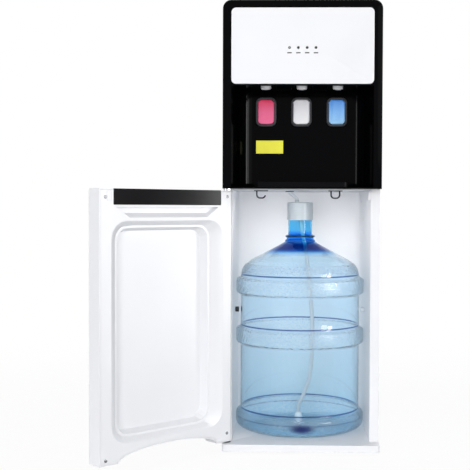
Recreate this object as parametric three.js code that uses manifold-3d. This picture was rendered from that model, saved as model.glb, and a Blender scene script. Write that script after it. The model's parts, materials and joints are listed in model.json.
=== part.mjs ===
// Bottom-load water cooler: cabinet, black tap housing, hinged door and a five-gallon bottle.
// Millimetres, +Z up, +X to the right seen from the front, -Y towards the user.
// The origin is on the floor under the middle of the cabinet. The door stands open.
import * as THREE from 'three';
import { mergeVertices } from 'three/addons/utils/BufferGeometryUtils.js';
import Module from 'manifold-3d';

const wasm = await Module();
wasm.setup();

// ---------------------------------------------------------------- driving dimensions

const SEAT_GAP = 0.3; // clearance between pieces that rest on or in each other
const STEEL = 1.2; // cabinet sheet
const MOULD_WALL = 3; // wall of the large mouldings

// cabinet
const CABINET_WIDTH = 310;
const CABINET_FRONT = -144; // plane of the front flanges, which the closed door meets
const CABINET_BACK = 178;
const OVERALL_HEIGHT = 886;
const OPENING_WIDTH = 274; // between the front flanges
const REAR_FLANGE = 15;

// base
const FLOOR_CLEARANCE = 4;
const BASE_DEPTH = 13.5;
const BASE_LIP = 32; // how far the base stands out in front of the flanges
const BASE_RIB = 2.5;
const BASE_CORNER = 6;
const FOOT_RADIUS = 15;
const FOOT_POCKET = 2;
const FOOT_INSET = 34;

// compartment
const LINER_WALL = 2;
const LINER_CORNER = 12;
const REAR_CAVITY = 46; // between the liner and the back plane, for the condenser
const DECK_UNDERSIDE = 518.5;
const DECK_SHEET = 1.7;
const BUMPER_RADIUS = 5.5;
const BUMPER_LENGTH = 8;

// tap housing
const FASCIA_GAP = 0.3; // tap housing above the deck
const FASCIA_FRONT = -180;
const FASCIA_CORNER = 17;
const FASCIA_EDGE = 3;
const RECESS_MOUTH = 276;
const RECESS_BACK_WIDTH = 256;
const RECESS_BACK = -76;
const RECESS_CORNER = 34;
const RECESS_SILL = 2.8; // mouth of the recess below the control panel
const CEILING_RISE = 7.5; // ceiling of the recess above its mouth
const LIP_DEPTH = 8;

// control panel
const PANEL_WIDTH = 276.4;
const PANEL_HEIGHT = 146.9;
const PANEL_MARGIN = 15.8; // below the top of the housing
const PANEL_CORNER = 9;
const PANEL_PROUD = 1.5;
const PANEL_THICKNESS = 6.2;
const PANEL_EDGE = 1.2;
const LED_RADIUS = 2.5;
const LED_PITCH = 17;
const LED_DROP = 77.2; // below the top of the panel
const LED_COUNT = 4;
const BOARD_WIDTH = 120;
const BOARD_HEIGHT = 44;
const BOARD_THICKNESS = 1.6;
const BOARD_STANDOFF = 6;

// taps and paddles
const TAPS = [
  { name: 'hot', colour: 0xe2395c },
  { name: 'room', colour: 0xf2f3f5 },
  { name: 'cold', colour: 0x3f8fe0 },
];
const TAP_PITCH = 72;
const SPOUT_Y = -118;
const SPOUT_RADIUS = 10.5;
const SPOUT_BORE = 6.5;
const SPOUT_DROP = 8.2; // below the ceiling of the recess
const VALVE_RADIUS = 14;
const VALVE_HEIGHT = 26;
const VALVE_INLET = 5;
const BOSS_WIDTH = 31;
const BOSS_DEPTH = 26;
const PADDLE_WIDTH = 32.5;
const PADDLE_HEIGHT = 50;
const PADDLE_DROP = 17.5; // top of the paddles below the mouth of the recess
const PADDLE_CORNER = 8;
const PADDLE_THICKNESS = 7;
const PADDLE_TILT = THREE.MathUtils.degToRad(5);
const PADDLE_CLEARANCE = 0.6;
const PADDLE_PIN = 1.8;
const BEZEL_RIM = 4.2;
const BEZEL_DEPTH = 11;

// drip tray
const TRAY_WIDTH = 176;
const TRAY_HEIGHT = 9.5;
const TRAY_WALL = 1.8;
const TRAY_LEDGE = 2.4;
const TRAY_CORNER = 7;
const GRILLE_THICKNESS = 2;
const GRILLE_SLOTS = 11;
const GRILLE_SLOT_WIDTH = 6;

// door
const DOOR_OPEN = THREE.MathUtils.degToRad(136.5);
const DOOR_THICKNESS = 37.2;
const DOOR_WALL = 2.3;
const DOOR_GAP = 0.8; // to the front flanges
const DOOR_BOTTOM_GAP = 3; // to the base
const DOOR_TOP_GAP = 3.5; // to the tap housing
const DOOR_EDGE = 4;
const HINGE_INSET = 8; // hinge axis from the side of the door
const HINGE_DEPTH = 8; // hinge axis from the inner face of the door
const HINGE_PIN = 3;
const HINGE_POST = 15.5; // solid stile that the hinge bores run in
const HINGE_BORE = 14;
const RELIEF_CLEARANCE = 1;
const STILE_CLEARANCE = 0.3; // rounded hinge edge to the front flange while the door turns
const ARCH_HALF_WIDTH = 115;
const ARCH_RISE = 22;
const LINER_SHEET = 2;
const COVE_DEPTH = 12;
const PAN_DEPTH = 28;
const TRIM_WIDTH = 250;
const TRIM_HEIGHT = 29;
const SCOOP_HEIGHT = 20;
const SCOOP_DEPTH = 9;

// bottle, standing on the base
const BOTTLE_RADIUS = 135; // over the reinforcing rings
const BOTTLE_WAIST = 125.5;
const BOTTLE_SETBACK = 1.5; // bottle behind the plane of the flanges
const BOTTLE_WALL = 2;
const NECK_RADIUS = 25.4;
const NECK_TOP = 470;
const RINGS = [[178.4, 217.2], [282, 321.6]]; // heights of the two reinforcing rings
const RING_SLOPE = 6;
const CAP_SKIRT = 38;
const CAP_WALL = 1.5;
const CAP_TOP = 6.5;
const TUBE_RADIUS = 4;
const HOSE_RADIUS = 3.6;

// back
const CONDENSER_RUNS = 8;
const CONDENSER_WIRES = 6;
const CONDENSER_TUBE = 2.6;
const CONDENSER_WIRE = 1;
const WIRE_OVERHANG = 12;
const BEND_STEPS = 6;
const TAB = { sheet: 1.6, half: 7 };
const LOUVRES = 12;

// ---------------------------------------------------------------- derived places

const HALF_WIDTH = CABINET_WIDTH / 2;
const HALF_OPENING = OPENING_WIDTH / 2;
const BASE_TOP = FLOOR_CLEARANCE + BASE_DEPTH;
const BASE_FRONT = CABINET_FRONT - BASE_LIP;
const CABINET_FOOT = BASE_TOP + SEAT_GAP;
const DECK_TOP = DECK_UNDERSIDE + DECK_SHEET;
const LINER_BACK = CABINET_BACK - REAR_CAVITY - LINER_WALL; // inner face
const COVER_BOTTOM = OVERALL_HEIGHT - FASCIA_CORNER - 1;
const FASCIA_BACK = CABINET_FRONT - SEAT_GAP;
const FASCIA_BOTTOM = DECK_TOP + FASCIA_GAP;
const PANEL_TOP = OVERALL_HEIGHT - PANEL_MARGIN;
const PANEL_BOTTOM = PANEL_TOP - PANEL_HEIGHT;
const RECESS_TOP = PANEL_BOTTOM - RECESS_SILL;
const RECESS_FLOOR = FASCIA_BOTTOM + MOULD_WALL;
const CEILING = RECESS_TOP + CEILING_RISE;
const LED_HEIGHT = PANEL_TOP - LED_DROP;
const PADDLE_BOTTOM = RECESS_TOP - PADDLE_DROP - PADDLE_HEIGHT;
const PANEL_FRONT = FASCIA_FRONT - PANEL_PROUD;
const PANEL_BACK = PANEL_FRONT + PANEL_THICKNESS;
const PANEL_SEAT = PANEL_BACK + SEAT_GAP;
const DOOR_INNER = CABINET_FRONT - DOOR_GAP;
const DOOR_OUTER = DOOR_INNER - DOOR_THICKNESS;
const DOOR_BOTTOM = BASE_TOP + DOOR_BOTTOM_GAP;
const DOOR_TOP = FASCIA_BOTTOM - DOOR_TOP_GAP;
const HINGE_X = -HALF_WIDTH + HINGE_INSET;
const HINGE_Y = DOOR_INNER - HINGE_DEPTH;
const BOTTLE_Y = CABINET_FRONT + BOTTLE_SETBACK + BOTTLE_RADIUS;
const BOTTLE_FOOT = BASE_TOP + SEAT_GAP;
const BUMPER_Z = BOTTLE_FOOT + (RINGS[0][1] + RINGS[1][0]) / 2; // level with the waist between the rings
const tapX = (index) => (index - 1) * TAP_PITCH;

// ---------------------------------------------------------------- solids

function toSolid(geometry) {
  const plain = geometry.clone();
  plain.deleteAttribute('normal');
  plain.deleteAttribute('uv');
  const merged = mergeVertices(plain, 1e-4);
  return new wasm.Manifold(new wasm.Mesh({
    numProp: 3,
    vertProperties: new Float32Array(merged.attributes.position.array),
    triVerts: new Uint32Array(merged.index.array),
  }));
}

function toGeometry(solid) {
  const mesh = solid.getMesh();
  const geometry = new THREE.BufferGeometry();
  geometry.setAttribute('position', new THREE.BufferAttribute(mesh.vertProperties, 3));
  geometry.setIndex(new THREE.BufferAttribute(mesh.triVerts, 1));
  const faceted = geometry.toNonIndexed();
  faceted.computeVertexNormals();
  return faceted;
}

function join(...geometries) {
  return toGeometry(geometries.map(toSolid).reduce((sum, solid) => sum.add(solid)));
}

function cut(body, ...tools) {
  return toGeometry(tools.map(toSolid).reduce((rest, tool) => rest.subtract(tool), toSolid(body)));
}

function box(x0, x1, y0, y1, z0, z1) {
  const geometry = new THREE.BoxGeometry(x1 - x0, y1 - y0, z1 - z0);
  return geometry.translate((x0 + x1) / 2, (y0 + y1) / 2, (z0 + z1) / 2);
}

// A cylinder from a point along +X, +Y or +Z.
function rod(axis, radius, length, x, y, z, sides = 20) {
  const geometry = new THREE.CylinderGeometry(radius, radius, length, sides).translate(0, length / 2, 0);
  if (axis === 'z') geometry.rotateX(Math.PI / 2);
  if (axis === 'x') geometry.rotateZ(-Math.PI / 2);
  return geometry.translate(x, y, z);
}

// A profile of [radius, height] pairs turned about +Z.
function turned(profile, sides) {
  const points = profile.map(([radius, height]) => new THREE.Vector2(radius, height));
  return new THREE.LatheGeometry(points, sides).rotateX(Math.PI / 2);
}

function roundedRect(x0, x1, y0, y1, radius) {
  const shape = new THREE.Shape();
  const r = Math.min(radius, (x1 - x0) / 2 - 0.01, (y1 - y0) / 2 - 0.01);
  shape.moveTo(x0 + r, y0);
  shape.lineTo(x1 - r, y0);
  shape.absarc(x1 - r, y0 + r, r, -Math.PI / 2, 0);
  shape.lineTo(x1, y1 - r);
  shape.absarc(x1 - r, y1 - r, r, 0, Math.PI / 2);
  shape.lineTo(x0 + r, y1);
  shape.absarc(x0 + r, y1 - r, r, Math.PI / 2, Math.PI);
  shape.lineTo(x0, y0 + r);
  shape.absarc(x0 + r, y0 + r, r, Math.PI, Math.PI * 1.5);
  return shape;
}

function polygon(points) {
  return new THREE.Shape(points.map(([x, y]) => new THREE.Vector2(x, y)));
}

const extrudeOptions = (depth, segments) => ({ depth, bevelEnabled: false, curveSegments: segments });

// An outline in X and Y, raised from z0 to z1.
function prismZ(shape, z0, z1, segments = 5) {
  return new THREE.ExtrudeGeometry(shape, extrudeOptions(z1 - z0, segments)).translate(0, 0, z0);
}

// An outline in X and Z, running from y0 back to y1.
function prismY(shape, y0, y1, segments = 5) {
  const geometry = new THREE.ExtrudeGeometry(shape, extrudeOptions(y1 - y0, segments));
  return geometry.rotateX(Math.PI / 2).translate(0, y1, 0);
}

// An outline in Y and Z, running from x0 to x1.
function prismX(shape, x0, x1, segments = 5) {
  const geometry = new THREE.ExtrudeGeometry(shape, extrudeOptions(x1 - x0, segments));
  const turn = new THREE.Matrix4().makeBasis(
    new THREE.Vector3(0, 1, 0), new THREE.Vector3(0, 0, 1), new THREE.Vector3(1, 0, 0));
  return geometry.applyMatrix4(turn).translate(x0, 0, 0);
}

// An outline in X and Z whose front edge at y0 is rounded by the given radius.
function softPlate(shape, y0, y1, edge, segments = 5, steps = 2) {
  const geometry = new THREE.ExtrudeGeometry(shape, {
    depth: y1 - y0, bevelEnabled: true, bevelThickness: edge, bevelSize: edge,
    bevelOffset: -edge, bevelSegments: steps, curveSegments: segments,
  });
  geometry.rotateX(Math.PI / 2).translate(0, y1, 0);
  geometry.computeBoundingBox();
  const size = geometry.boundingBox;
  const backEdge = box(size.min.x - 1, size.max.x + 1, y1, y1 + 3 * edge, size.min.z - 1, size.max.z + 1);
  return cut(geometry.translate(0, edge, 0), backEdge);
}

// A solid round hose along a smooth curve through points.
function tube(points, radius, steps, sides = 8) {
  const section = new THREE.Shape(Array.from({ length: sides }, (_, i) => {
    const angle = (i / sides) * 2 * Math.PI;
    return new THREE.Vector2(radius * Math.cos(angle), radius * Math.sin(angle));
  }));
  const path = new THREE.CatmullRomCurve3(points.map((p) => new THREE.Vector3(...p)), false, 'centripetal');
  return new THREE.ExtrudeGeometry(section, { steps, extrudePath: path, bevelEnabled: false });
}

// Joins rings of points, each a convex outline with the same count, into a closed body.
function loft(rings) {
  const count = rings[0].length;
  const positions = rings.flat(2);
  const indices = [];
  for (let level = 0; level + 1 < rings.length; level += 1) {
    for (let i = 0; i < count; i += 1) {
      const a = level * count + i;
      const b = level * count + ((i + 1) % count);
      indices.push(a, b, b + count, a, b + count, a + count);
    }
  }
  const last = (rings.length - 1) * count;
  for (let i = 1; i + 1 < count; i += 1) {
    indices.push(0, i + 1, i);
    indices.push(last, last + i, last + i + 1);
  }
  const geometry = new THREE.BufferGeometry();
  geometry.setAttribute('position', new THREE.Float32BufferAttribute(positions, 3));
  geometry.setIndex(indices);
  return geometry;
}

// ---------------------------------------------------------------- materials and nodes

const finish = (color, roughness, metalness = 0, extra = {}) =>
  new THREE.MeshStandardMaterial({ color, roughness, metalness, ...extra });

const whiteSheet = finish(0xf1f2f4, 0.35, 0.1);
const whiteMoulding = finish(0xeeeff2, 0.45);
const glossWhite = finish(0xf4f5f8, 0.15);
const glossBlack = finish(0x0d0d11, 0.12);
const mattBlack = finish(0x17181b, 0.6);
const rubber = finish(0x1c1c1e, 0.85);
const castBlack = finish(0x202124, 0.55, 0.4);
const galvanised = finish(0xb9bdc2, 0.4, 0.8);
const stainless = finish(0xc8cbcf, 0.28, 0.95);
const paleHose = finish(0xe9eaec, 0.5);
const bottleBlue = finish(0x3f97e6, 0.08, 0, { transparent: true, opacity: 0.45 });

const model = new THREE.Group();

function node(parent, name, geometry, material) {
  const mesh = new THREE.Mesh(geometry, material);
  mesh.name = name;
  parent.add(mesh);
  return mesh;
}

// ---------------------------------------------------------------- base and feet

const footPlaces = {
  front_left: [-HALF_WIDTH + FOOT_INSET, BASE_FRONT + FOOT_INSET],
  front_right: [HALF_WIDTH - FOOT_INSET, BASE_FRONT + FOOT_INSET],
  rear_left: [-HALF_WIDTH + FOOT_INSET, CABINET_BACK - FOOT_INSET],
  rear_right: [HALF_WIDTH - FOOT_INSET, CABINET_BACK - FOOT_INSET],
  centre: [0, 0],
};

// A ribbed moulding, open underneath, with a boss over every foot and a socket for the hinge pin.
function basePlate() {
  const outline = roundedRect(-HALF_WIDTH, HALF_WIDTH, BASE_FRONT, CABINET_BACK, BASE_CORNER);
  const hollow = roundedRect(-HALF_WIDTH + MOULD_WALL, HALF_WIDTH - MOULD_WALL,
    BASE_FRONT + MOULD_WALL, CABINET_BACK - MOULD_WALL, BASE_CORNER);
  const roof = BASE_TOP - MOULD_WALL;
  let plate = cut(prismZ(outline, FLOOR_CLEARANCE, BASE_TOP), prismZ(hollow, FLOOR_CLEARANCE - 1, roof));
  const ribs = [];
  for (const x of [-HALF_WIDTH / 2, HALF_WIDTH / 2]) {
    ribs.push(box(x - BASE_RIB / 2, x + BASE_RIB / 2, BASE_FRONT + 1, CABINET_BACK - 1,
      FLOOR_CLEARANCE + 1, roof + 1));
  }
  for (const y of [BASE_FRONT * 0.6, 0, CABINET_BACK * 0.6]) {
    ribs.push(box(-HALF_WIDTH + 1, HALF_WIDTH - 1, y - BASE_RIB / 2, y + BASE_RIB / 2,
      FLOOR_CLEARANCE + 1, roof + 1));
  }
  const places = Object.values(footPlaces);
  const bosses = places.map(([x, y]) =>
    rod('z', FOOT_RADIUS + MOULD_WALL, BASE_DEPTH - 1, x, y, FLOOR_CLEARANCE, 16));
  const socket = rod('z', HINGE_PIN + MOULD_WALL, BASE_DEPTH - 1, HINGE_X + 0.5, HINGE_Y,
    FLOOR_CLEARANCE, 12);
  plate = join(plate, ...ribs, ...bosses, socket);
  const pockets = places.map(([x, y]) =>
    rod('z', FOOT_RADIUS + SEAT_GAP, FOOT_POCKET + 1, x, y, FLOOR_CLEARANCE - 1, 16));
  const pinHole = rod('z', HINGE_PIN + SEAT_GAP, BASE_DEPTH, HINGE_X, HINGE_Y,
    FLOOR_CLEARANCE + MOULD_WALL);
  return cut(plate, ...pockets, pinHole);
}

node(model, 'base_plate', basePlate(), whiteMoulding);
for (const [place, [x, y]] of Object.entries(footPlaces)) {
  const top = FLOOR_CLEARANCE + FOOT_POCKET - SEAT_GAP;
  const profile = [[0, 0], [FOOT_RADIUS - 1.5, 0], [FOOT_RADIUS, 1.5], [FOOT_RADIUS, top], [0, top]];
  node(model, `foot_${place}`, turned(profile, 16), rubber).position.set(x, y, 0);
}

// ---------------------------------------------------------------- cabinet

// Folded sheet: outer skin, front flange and rear flange in one.
function sidePanel() {
  const x0 = HALF_OPENING;
  const x1 = HALF_WIDTH;
  const section = polygon([
    [x0, CABINET_FRONT], [x1, CABINET_FRONT], [x1, CABINET_BACK],
    [x1 - REAR_FLANGE, CABINET_BACK], [x1 - REAR_FLANGE, CABINET_BACK - STEEL],
    [x1 - STEEL, CABINET_BACK - STEEL], [x1 - STEEL, CABINET_FRONT + STEEL], [x0, CABINET_FRONT + STEEL],
  ]);
  return prismZ(section, CABINET_FOOT, COVER_BOTTOM - SEAT_GAP);
}

const rightPanel = sidePanel();
node(model, 'side_panel_right', rightPanel, whiteSheet);
const mirrored = toGeometry(toSolid(rightPanel).mirror([1, 0, 0]));
node(model, 'side_panel_left', mirrored, whiteSheet);

function linerOutline(offset, front) {
  const x = HALF_OPENING + offset;
  const back = LINER_BACK + offset;
  const r = LINER_CORNER + offset;
  const shape = new THREE.Shape();
  shape.moveTo(-x, front);
  shape.lineTo(x, front);
  shape.lineTo(x, back - r);
  shape.absarc(x - r, back - r, r, 0, Math.PI / 2);
  shape.lineTo(-x + r, back);
  shape.absarc(-x + r, back - r, r, Math.PI / 2, Math.PI);
  return shape;
}

// One bent wall round the sides and the back of the bottle.
function compartmentLiner() {
  const top = DECK_UNDERSIDE - SEAT_GAP;
  const front = CABINET_FRONT + STEEL + SEAT_GAP;
  const outer = prismZ(linerOutline(LINER_WALL, front), CABINET_FOOT, top);
  const inner = prismZ(linerOutline(0, front - 1), CABINET_FOOT - 1, top + 1);
  const studHoles = [-1, 1].map((side) => {
    const start = side > 0 ? HALF_OPENING - 1 : -HALF_OPENING - LINER_WALL - 1;
    return rod('x', BUMPER_RADIUS / 2 + SEAT_GAP, LINER_WALL + 2, start, BOTTLE_Y, BUMPER_Z);
  });
  return cut(outer, inner, ...studHoles);
}

node(model, 'compartment_liner', compartmentLiner(), whiteMoulding);

// Rubber stops with a stem through the liner, at the waist between the rings of the bottle.
for (const [side, sign] of [['left', -1], ['right', 1]]) {
  const head = rod('x', BUMPER_RADIUS, BUMPER_LENGTH - SEAT_GAP, -BUMPER_LENGTH, 0, 0, 16);
  const stem = rod('x', BUMPER_RADIUS / 2, LINER_WALL + 3, -1, 0, 0, 12);
  const bumper = node(model, `bottle_bumper_${side}`, join(head, stem), rubber);
  bumper.position.set(sign * HALF_OPENING, BOTTLE_Y, BUMPER_Z);
  bumper.rotation.z = sign > 0 ? 0 : Math.PI;
}

// Flat deck between the compartment and the tap housing, with a hole for the hose.
const GROMMET_X = -22.5;
const GROMMET_WAIST = 6.2;
function midDeck() {
  const x = HALF_WIDTH - STEEL - SEAT_GAP;
  const sheet = box(-x, x, CABINET_FRONT + STEEL + SEAT_GAP, CABINET_BACK - STEEL - SEAT_GAP,
    DECK_UNDERSIDE, DECK_TOP);
  const hole = rod('z', GROMMET_WAIST + SEAT_GAP, DECK_SHEET + 2, GROMMET_X, BOTTLE_Y, DECK_UNDERSIDE - 1);
  return cut(sheet, hole);
}

node(model, 'mid_deck', midDeck(), galvanised);

// Outline of the tap housing and the top cover, seen from the front, drawn in by an inset.
function housingOutline(inset, bottom) {
  const x = HALF_WIDTH - inset;
  const top = OVERALL_HEIGHT - inset;
  const r = FASCIA_CORNER - inset;
  const shape = new THREE.Shape();
  shape.moveTo(-x, bottom);
  shape.lineTo(x, bottom);
  shape.lineTo(x, top - r);
  shape.absarc(x - r, top - r, r, 0, Math.PI / 2);
  shape.lineTo(-x + r, top);
  shape.absarc(-x + r, top - r, r, Math.PI / 2, Math.PI);
  return shape;
}

function topCover() {
  const cover = prismY(housingOutline(0, COVER_BOTTOM), CABINET_FRONT, CABINET_BACK);
  const hollow = prismY(housingOutline(MOULD_WALL, COVER_BOTTOM - 1),
    CABINET_FRONT + MOULD_WALL, CABINET_BACK - MOULD_WALL);
  return cut(cover, hollow);
}

node(model, 'top_cover', topCover(), mattBlack);

// ---------------------------------------------------------------- back

const REAR_SHEET_Y = CABINET_BACK + SEAT_GAP;
const REAR_SHEET_TOP = COVER_BOTTOM - 4;
const REAR_SHEET_HALF = HALF_WIDTH - 4;
const LOUVRE = { width: 150, height: 4, pitch: 11, rise: 55, x: 40 };
const SWITCH = { x: -105, drop: 74, width: 36, tall: 46, pitch: 14 };
const DRAIN = { x: -105, rise: 36, radius: 7, length: 14, wall: 2.5, tube: 30 };
const INLET = { x: 112, rise: 28, radius: 8, bore: 3.2 };
const SWITCH_Z = REAR_SHEET_TOP - SWITCH.drop;
const DRAIN_Z = DECK_TOP + DRAIN.rise;
const INLET_Z = DECK_TOP + INLET.rise;

// Screwed-on sheet with vent slots and holes for the switches, the drain and the lead.
function rearPanel() {
  const plate = prismY(roundedRect(-REAR_SHEET_HALF, REAR_SHEET_HALF, DECK_TOP, REAR_SHEET_TOP, 4),
    REAR_SHEET_Y, REAR_SHEET_Y + STEEL);
  const louvres = Array.from({ length: LOUVRES }, (_, i) => {
    const z = DECK_TOP + LOUVRE.rise + i * LOUVRE.pitch;
    return box(LOUVRE.x - LOUVRE.width / 2, LOUVRE.x + LOUVRE.width / 2, REAR_SHEET_Y - 1, REAR_SHEET_Y + 3,
      z, z + LOUVRE.height);
  });
  const opening = box(SWITCH.x - SWITCH.width / 2 + 3, SWITCH.x + SWITCH.width / 2 - 3,
    REAR_SHEET_Y - 1, REAR_SHEET_Y + 3, SWITCH_Z - SWITCH.tall / 2 + 3, SWITCH_Z + SWITCH.tall / 2 - 3);
  const drain = rod('y', DRAIN.radius + SEAT_GAP, 4, DRAIN.x, REAR_SHEET_Y - 1, DRAIN_Z);
  const inlet = rod('y', INLET.radius - 2 + SEAT_GAP, 4, INLET.x, REAR_SHEET_Y - 1, INLET_Z);
  return cut(plate, ...louvres, opening, drain, inlet);
}

node(model, 'rear_panel', rearPanel(), galvanised);

const SWITCH_BACK = REAR_SHEET_Y + STEEL + SEAT_GAP;
const ROCKER = { width: 11, tall: 24, thick: 9, axle: 1.6, reach: 6.5,
  travel: THREE.MathUtils.degToRad(10) };

// Bezel that clips into the rear sheet and carries the two rockers on short axles.
function switchPlate() {
  const halfW = SWITCH.width / 2;
  const halfH = SWITCH.tall / 2;
  const rim = prismY(roundedRect(SWITCH.x - halfW, SWITCH.x + halfW,
    SWITCH_Z - halfH, SWITCH_Z + halfH, 3), SWITCH_BACK, SWITCH_BACK + 3);
  const body = box(SWITCH.x - halfW + 3.4, SWITCH.x + halfW - 3.4, SWITCH_BACK - 14, SWITCH_BACK + 1,
    SWITCH_Z - halfH + 3.4, SWITCH_Z + halfH - 3.4);
  const wells = [-1, 1].map((side) => {
    const x = SWITCH.x + side * SWITCH.pitch / 2;
    return box(x - ROCKER.width / 2 - 0.4, x + ROCKER.width / 2 + 0.4, SWITCH_BACK - 11, SWITCH_BACK + 5,
      SWITCH_Z - ROCKER.tall / 2 - 0.8, SWITCH_Z + ROCKER.tall / 2 + 0.8);
  });
  const axles = rod('x', ROCKER.axle + SEAT_GAP, SWITCH.pitch + 2 * (ROCKER.reach + SEAT_GAP),
    SWITCH.x - SWITCH.pitch / 2 - ROCKER.reach - SEAT_GAP, SWITCH_BACK - 1, SWITCH_Z, 12);
  return cut(join(rim, body), ...wells, axles);
}

node(model, 'switch_plate', switchPlate(), mattBlack);

for (const [side, name] of [[-1, 'cold'], [1, 'hot']]) {
  const wing = polygon([
    [-ROCKER.thick + 3, -ROCKER.tall / 2 + 2], [2.4, -ROCKER.tall / 2], [3.2, -ROCKER.tall / 2 + 2],
    [1.6, 0], [3.2, ROCKER.tall / 2 - 2], [2.4, ROCKER.tall / 2], [-ROCKER.thick + 3, ROCKER.tall / 2 - 2],
  ]);
  const body = prismX(wing, -ROCKER.width / 2, ROCKER.width / 2);
  const axle = rod('x', ROCKER.axle, 2 * ROCKER.reach, -ROCKER.reach, 0, 0, 12);
  const colour = name === 'hot' ? 0xc8262c : 0x1f9a4a;
  const rocker = node(model, `rocker_${name}`, join(body, axle), finish(colour, 0.35));
  rocker.position.set(SWITCH.x + side * SWITCH.pitch / 2, SWITCH_BACK - 1, SWITCH_Z);
  rocker.rotation.x = -ROCKER.travel / 2;
}

// Drain spout through the rear sheet, with the plug pushed into its bore.
const drainBore = DRAIN.radius - DRAIN.wall;
const drainPort = turned([
  [drainBore, 0], [DRAIN.radius, 0], [DRAIN.radius, DRAIN.tube], [drainBore, DRAIN.tube], [drainBore, 0],
], 20).rotateX(-Math.PI / 2);
node(model, 'drain_spout', drainPort, whiteMoulding)
  .position.set(DRAIN.x, REAR_SHEET_Y + DRAIN.length - DRAIN.tube, DRAIN_Z);
const plugStem = drainBore - SEAT_GAP;
const drainPlug = turned([
  [0, -12], [plugStem - 1, -12], [plugStem, -11], [plugStem, SEAT_GAP], [DRAIN.radius + 2, SEAT_GAP],
  [DRAIN.radius + 2, 6], [DRAIN.radius + 0.5, 7.5], [0, 7.5],
], 20).rotateX(-Math.PI / 2);
node(model, 'drain_plug', drainPlug, rubber).position.set(DRAIN.x, REAR_SHEET_Y + DRAIN.length, DRAIN_Z);

// Bushing for the mains lead.
const inletBush = turned([
  [INLET.bore, -6], [INLET.radius - 2, -6], [INLET.radius - 2, STEEL + SEAT_GAP],
  [INLET.radius, STEEL + SEAT_GAP], [INLET.radius, STEEL + 3], [INLET.radius - 2, STEEL + 6],
  [INLET.bore, STEEL + 6], [INLET.bore, -6],
], 20).rotateX(-Math.PI / 2);
node(model, 'lead_bushing', inletBush, rubber).position.set(INLET.x, REAR_SHEET_Y, INLET_Z);

// Serpentine tube with upright wires on both sides and a tab at each corner that meets the rear flange.
function condenser() {
  const y = (LINER_BACK + LINER_WALL + CABINET_BACK) / 2 + 4;
  const bottom = BASE_TOP + 40;
  const top = DECK_UNDERSIDE - 30;
  const pitch = (top - bottom) / (CONDENSER_RUNS - 1);
  const turn = pitch / 2;
  const straight = HALF_WIDTH - REAR_FLANGE - turn - 12;
  const rings = [];
  // One hexagonal section of the tube where its middle is at x and z and it heads along (dx, dz).
  const station = (x, z, dx, dz) => rings.push(Array.from({ length: 6 }, (_, i) => {
    const out = CONDENSER_TUBE * Math.cos(i * Math.PI / 3);
    return [x - dz * out, y - CONDENSER_TUBE * Math.sin(i * Math.PI / 3), z + dx * out];
  }));
  for (let run = 0; run < CONDENSER_RUNS; run += 1) {
    const z = bottom + run * pitch;
    const side = run % 2 ? -1 : 1;
    station(-side * straight, z, side, 0);
    const bend = run + 1 < CONDENSER_RUNS ? BEND_STEPS : 1;
    for (let step = 0; step < bend; step += 1) {
      const angle = (step / BEND_STEPS) * Math.PI;
      station(side * (straight + turn * Math.sin(angle)), z + turn * (1 - Math.cos(angle)),
        side * Math.cos(angle), Math.sin(angle));
    }
  }
  const pieces = [loft(rings)];
  for (let i = 0; i < CONDENSER_WIRES; i += 1) {
    const x = straight * (2 * i / (CONDENSER_WIRES - 1) - 1) * 0.94;
    const level = y + (i % 2 ? 1 : -1) * (CONDENSER_TUBE + CONDENSER_WIRE * 0.4);
    pieces.push(box(x - CONDENSER_WIRE, x + CONDENSER_WIRE, level - CONDENSER_WIRE, level + CONDENSER_WIRE,
      bottom - WIRE_OVERHANG, top + WIRE_OVERHANG));
  }
  const inner = straight - 10;
  const outer = HALF_WIDTH - STEEL - SEAT_GAP - 1;
  for (const z of [bottom, top]) {
    for (const side of [-1, 1]) {
      const across = (near, far) => (side > 0 ? [near, far] : [-far, -near]);
      const [y0, y1] = [y - TAB.sheet / 2, y + TAB.sheet / 2];
      const rear = CABINET_BACK - STEEL - SEAT_GAP;
      pieces.push(box(...across(inner, outer), y0, y1, z - TAB.half, z + TAB.half));
      pieces.push(box(...across(outer - TAB.sheet, outer), y0, rear, z - TAB.half, z + TAB.half));
    }
  }
  return join(...pieces);
}

node(model, 'condenser', condenser(), castBlack);

// ---------------------------------------------------------------- inside the upper housing

const DECK_SEAT = DECK_TOP + SEAT_GAP;

const COMPRESSOR = { x: 72, y: 112, radius: 50, height: 116, foot: 9, lift: 6 };
const HOT_TANK = { x: 94, y: -2, radius: 44, height: 160, dome: 14 };
const COLD_TANK = { x: -96, y: 28, radius: 48, height: 178, dome: 16 };
const FITTING = { radius: 6, length: 22, seat: 8 };
const PUMP = {
  x: -88, y: 128, length: 60, width: 44, height: 34,
  motor: { radius: 17, length: 40, x: -22 }, port: { radius: 5, height: 16, x: 24 },
};

// Hermetic pot with a welded waist on three fused feet.
function compressorPot() {
  const { radius, height, lift } = COMPRESSOR;
  const waist = lift + height * 0.47;
  const pot = turned([
    [0, lift], [radius - 6, lift], [radius, lift + 6], [radius, waist - 2], [radius + 2, waist],
    [radius + 2, waist + 4], [radius, waist + 6], [radius - 1, lift + height * 0.78],
    [radius * 0.84, lift + height * 0.91], [radius * 0.52, lift + height * 0.98], [0, lift + height],
  ], 24);
  const feet = [0, 1, 2].map((i) => {
    const angle = Math.PI / 6 + i * 2 * Math.PI / 3;
    const reach = radius * 0.8;
    return rod('z', COMPRESSOR.foot, lift + 8, reach * Math.cos(angle), reach * Math.sin(angle), 0, 12);
  });
  return join(pot, ...feet);
}

// A domed tank with a pipe fitting on top.
function tank({ radius, height, dome }) {
  const shell = turned([
    [0, 0], [radius - 6, 0], [radius, 6], [radius, height - dome], [radius * 0.8, height - dome * 0.35],
    [radius * 0.4, height], [0, height],
  ], 20);
  return join(shell, rod('z', FITTING.radius, FITTING.length, 0, 0, height - FITTING.seat, 12));
}

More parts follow.
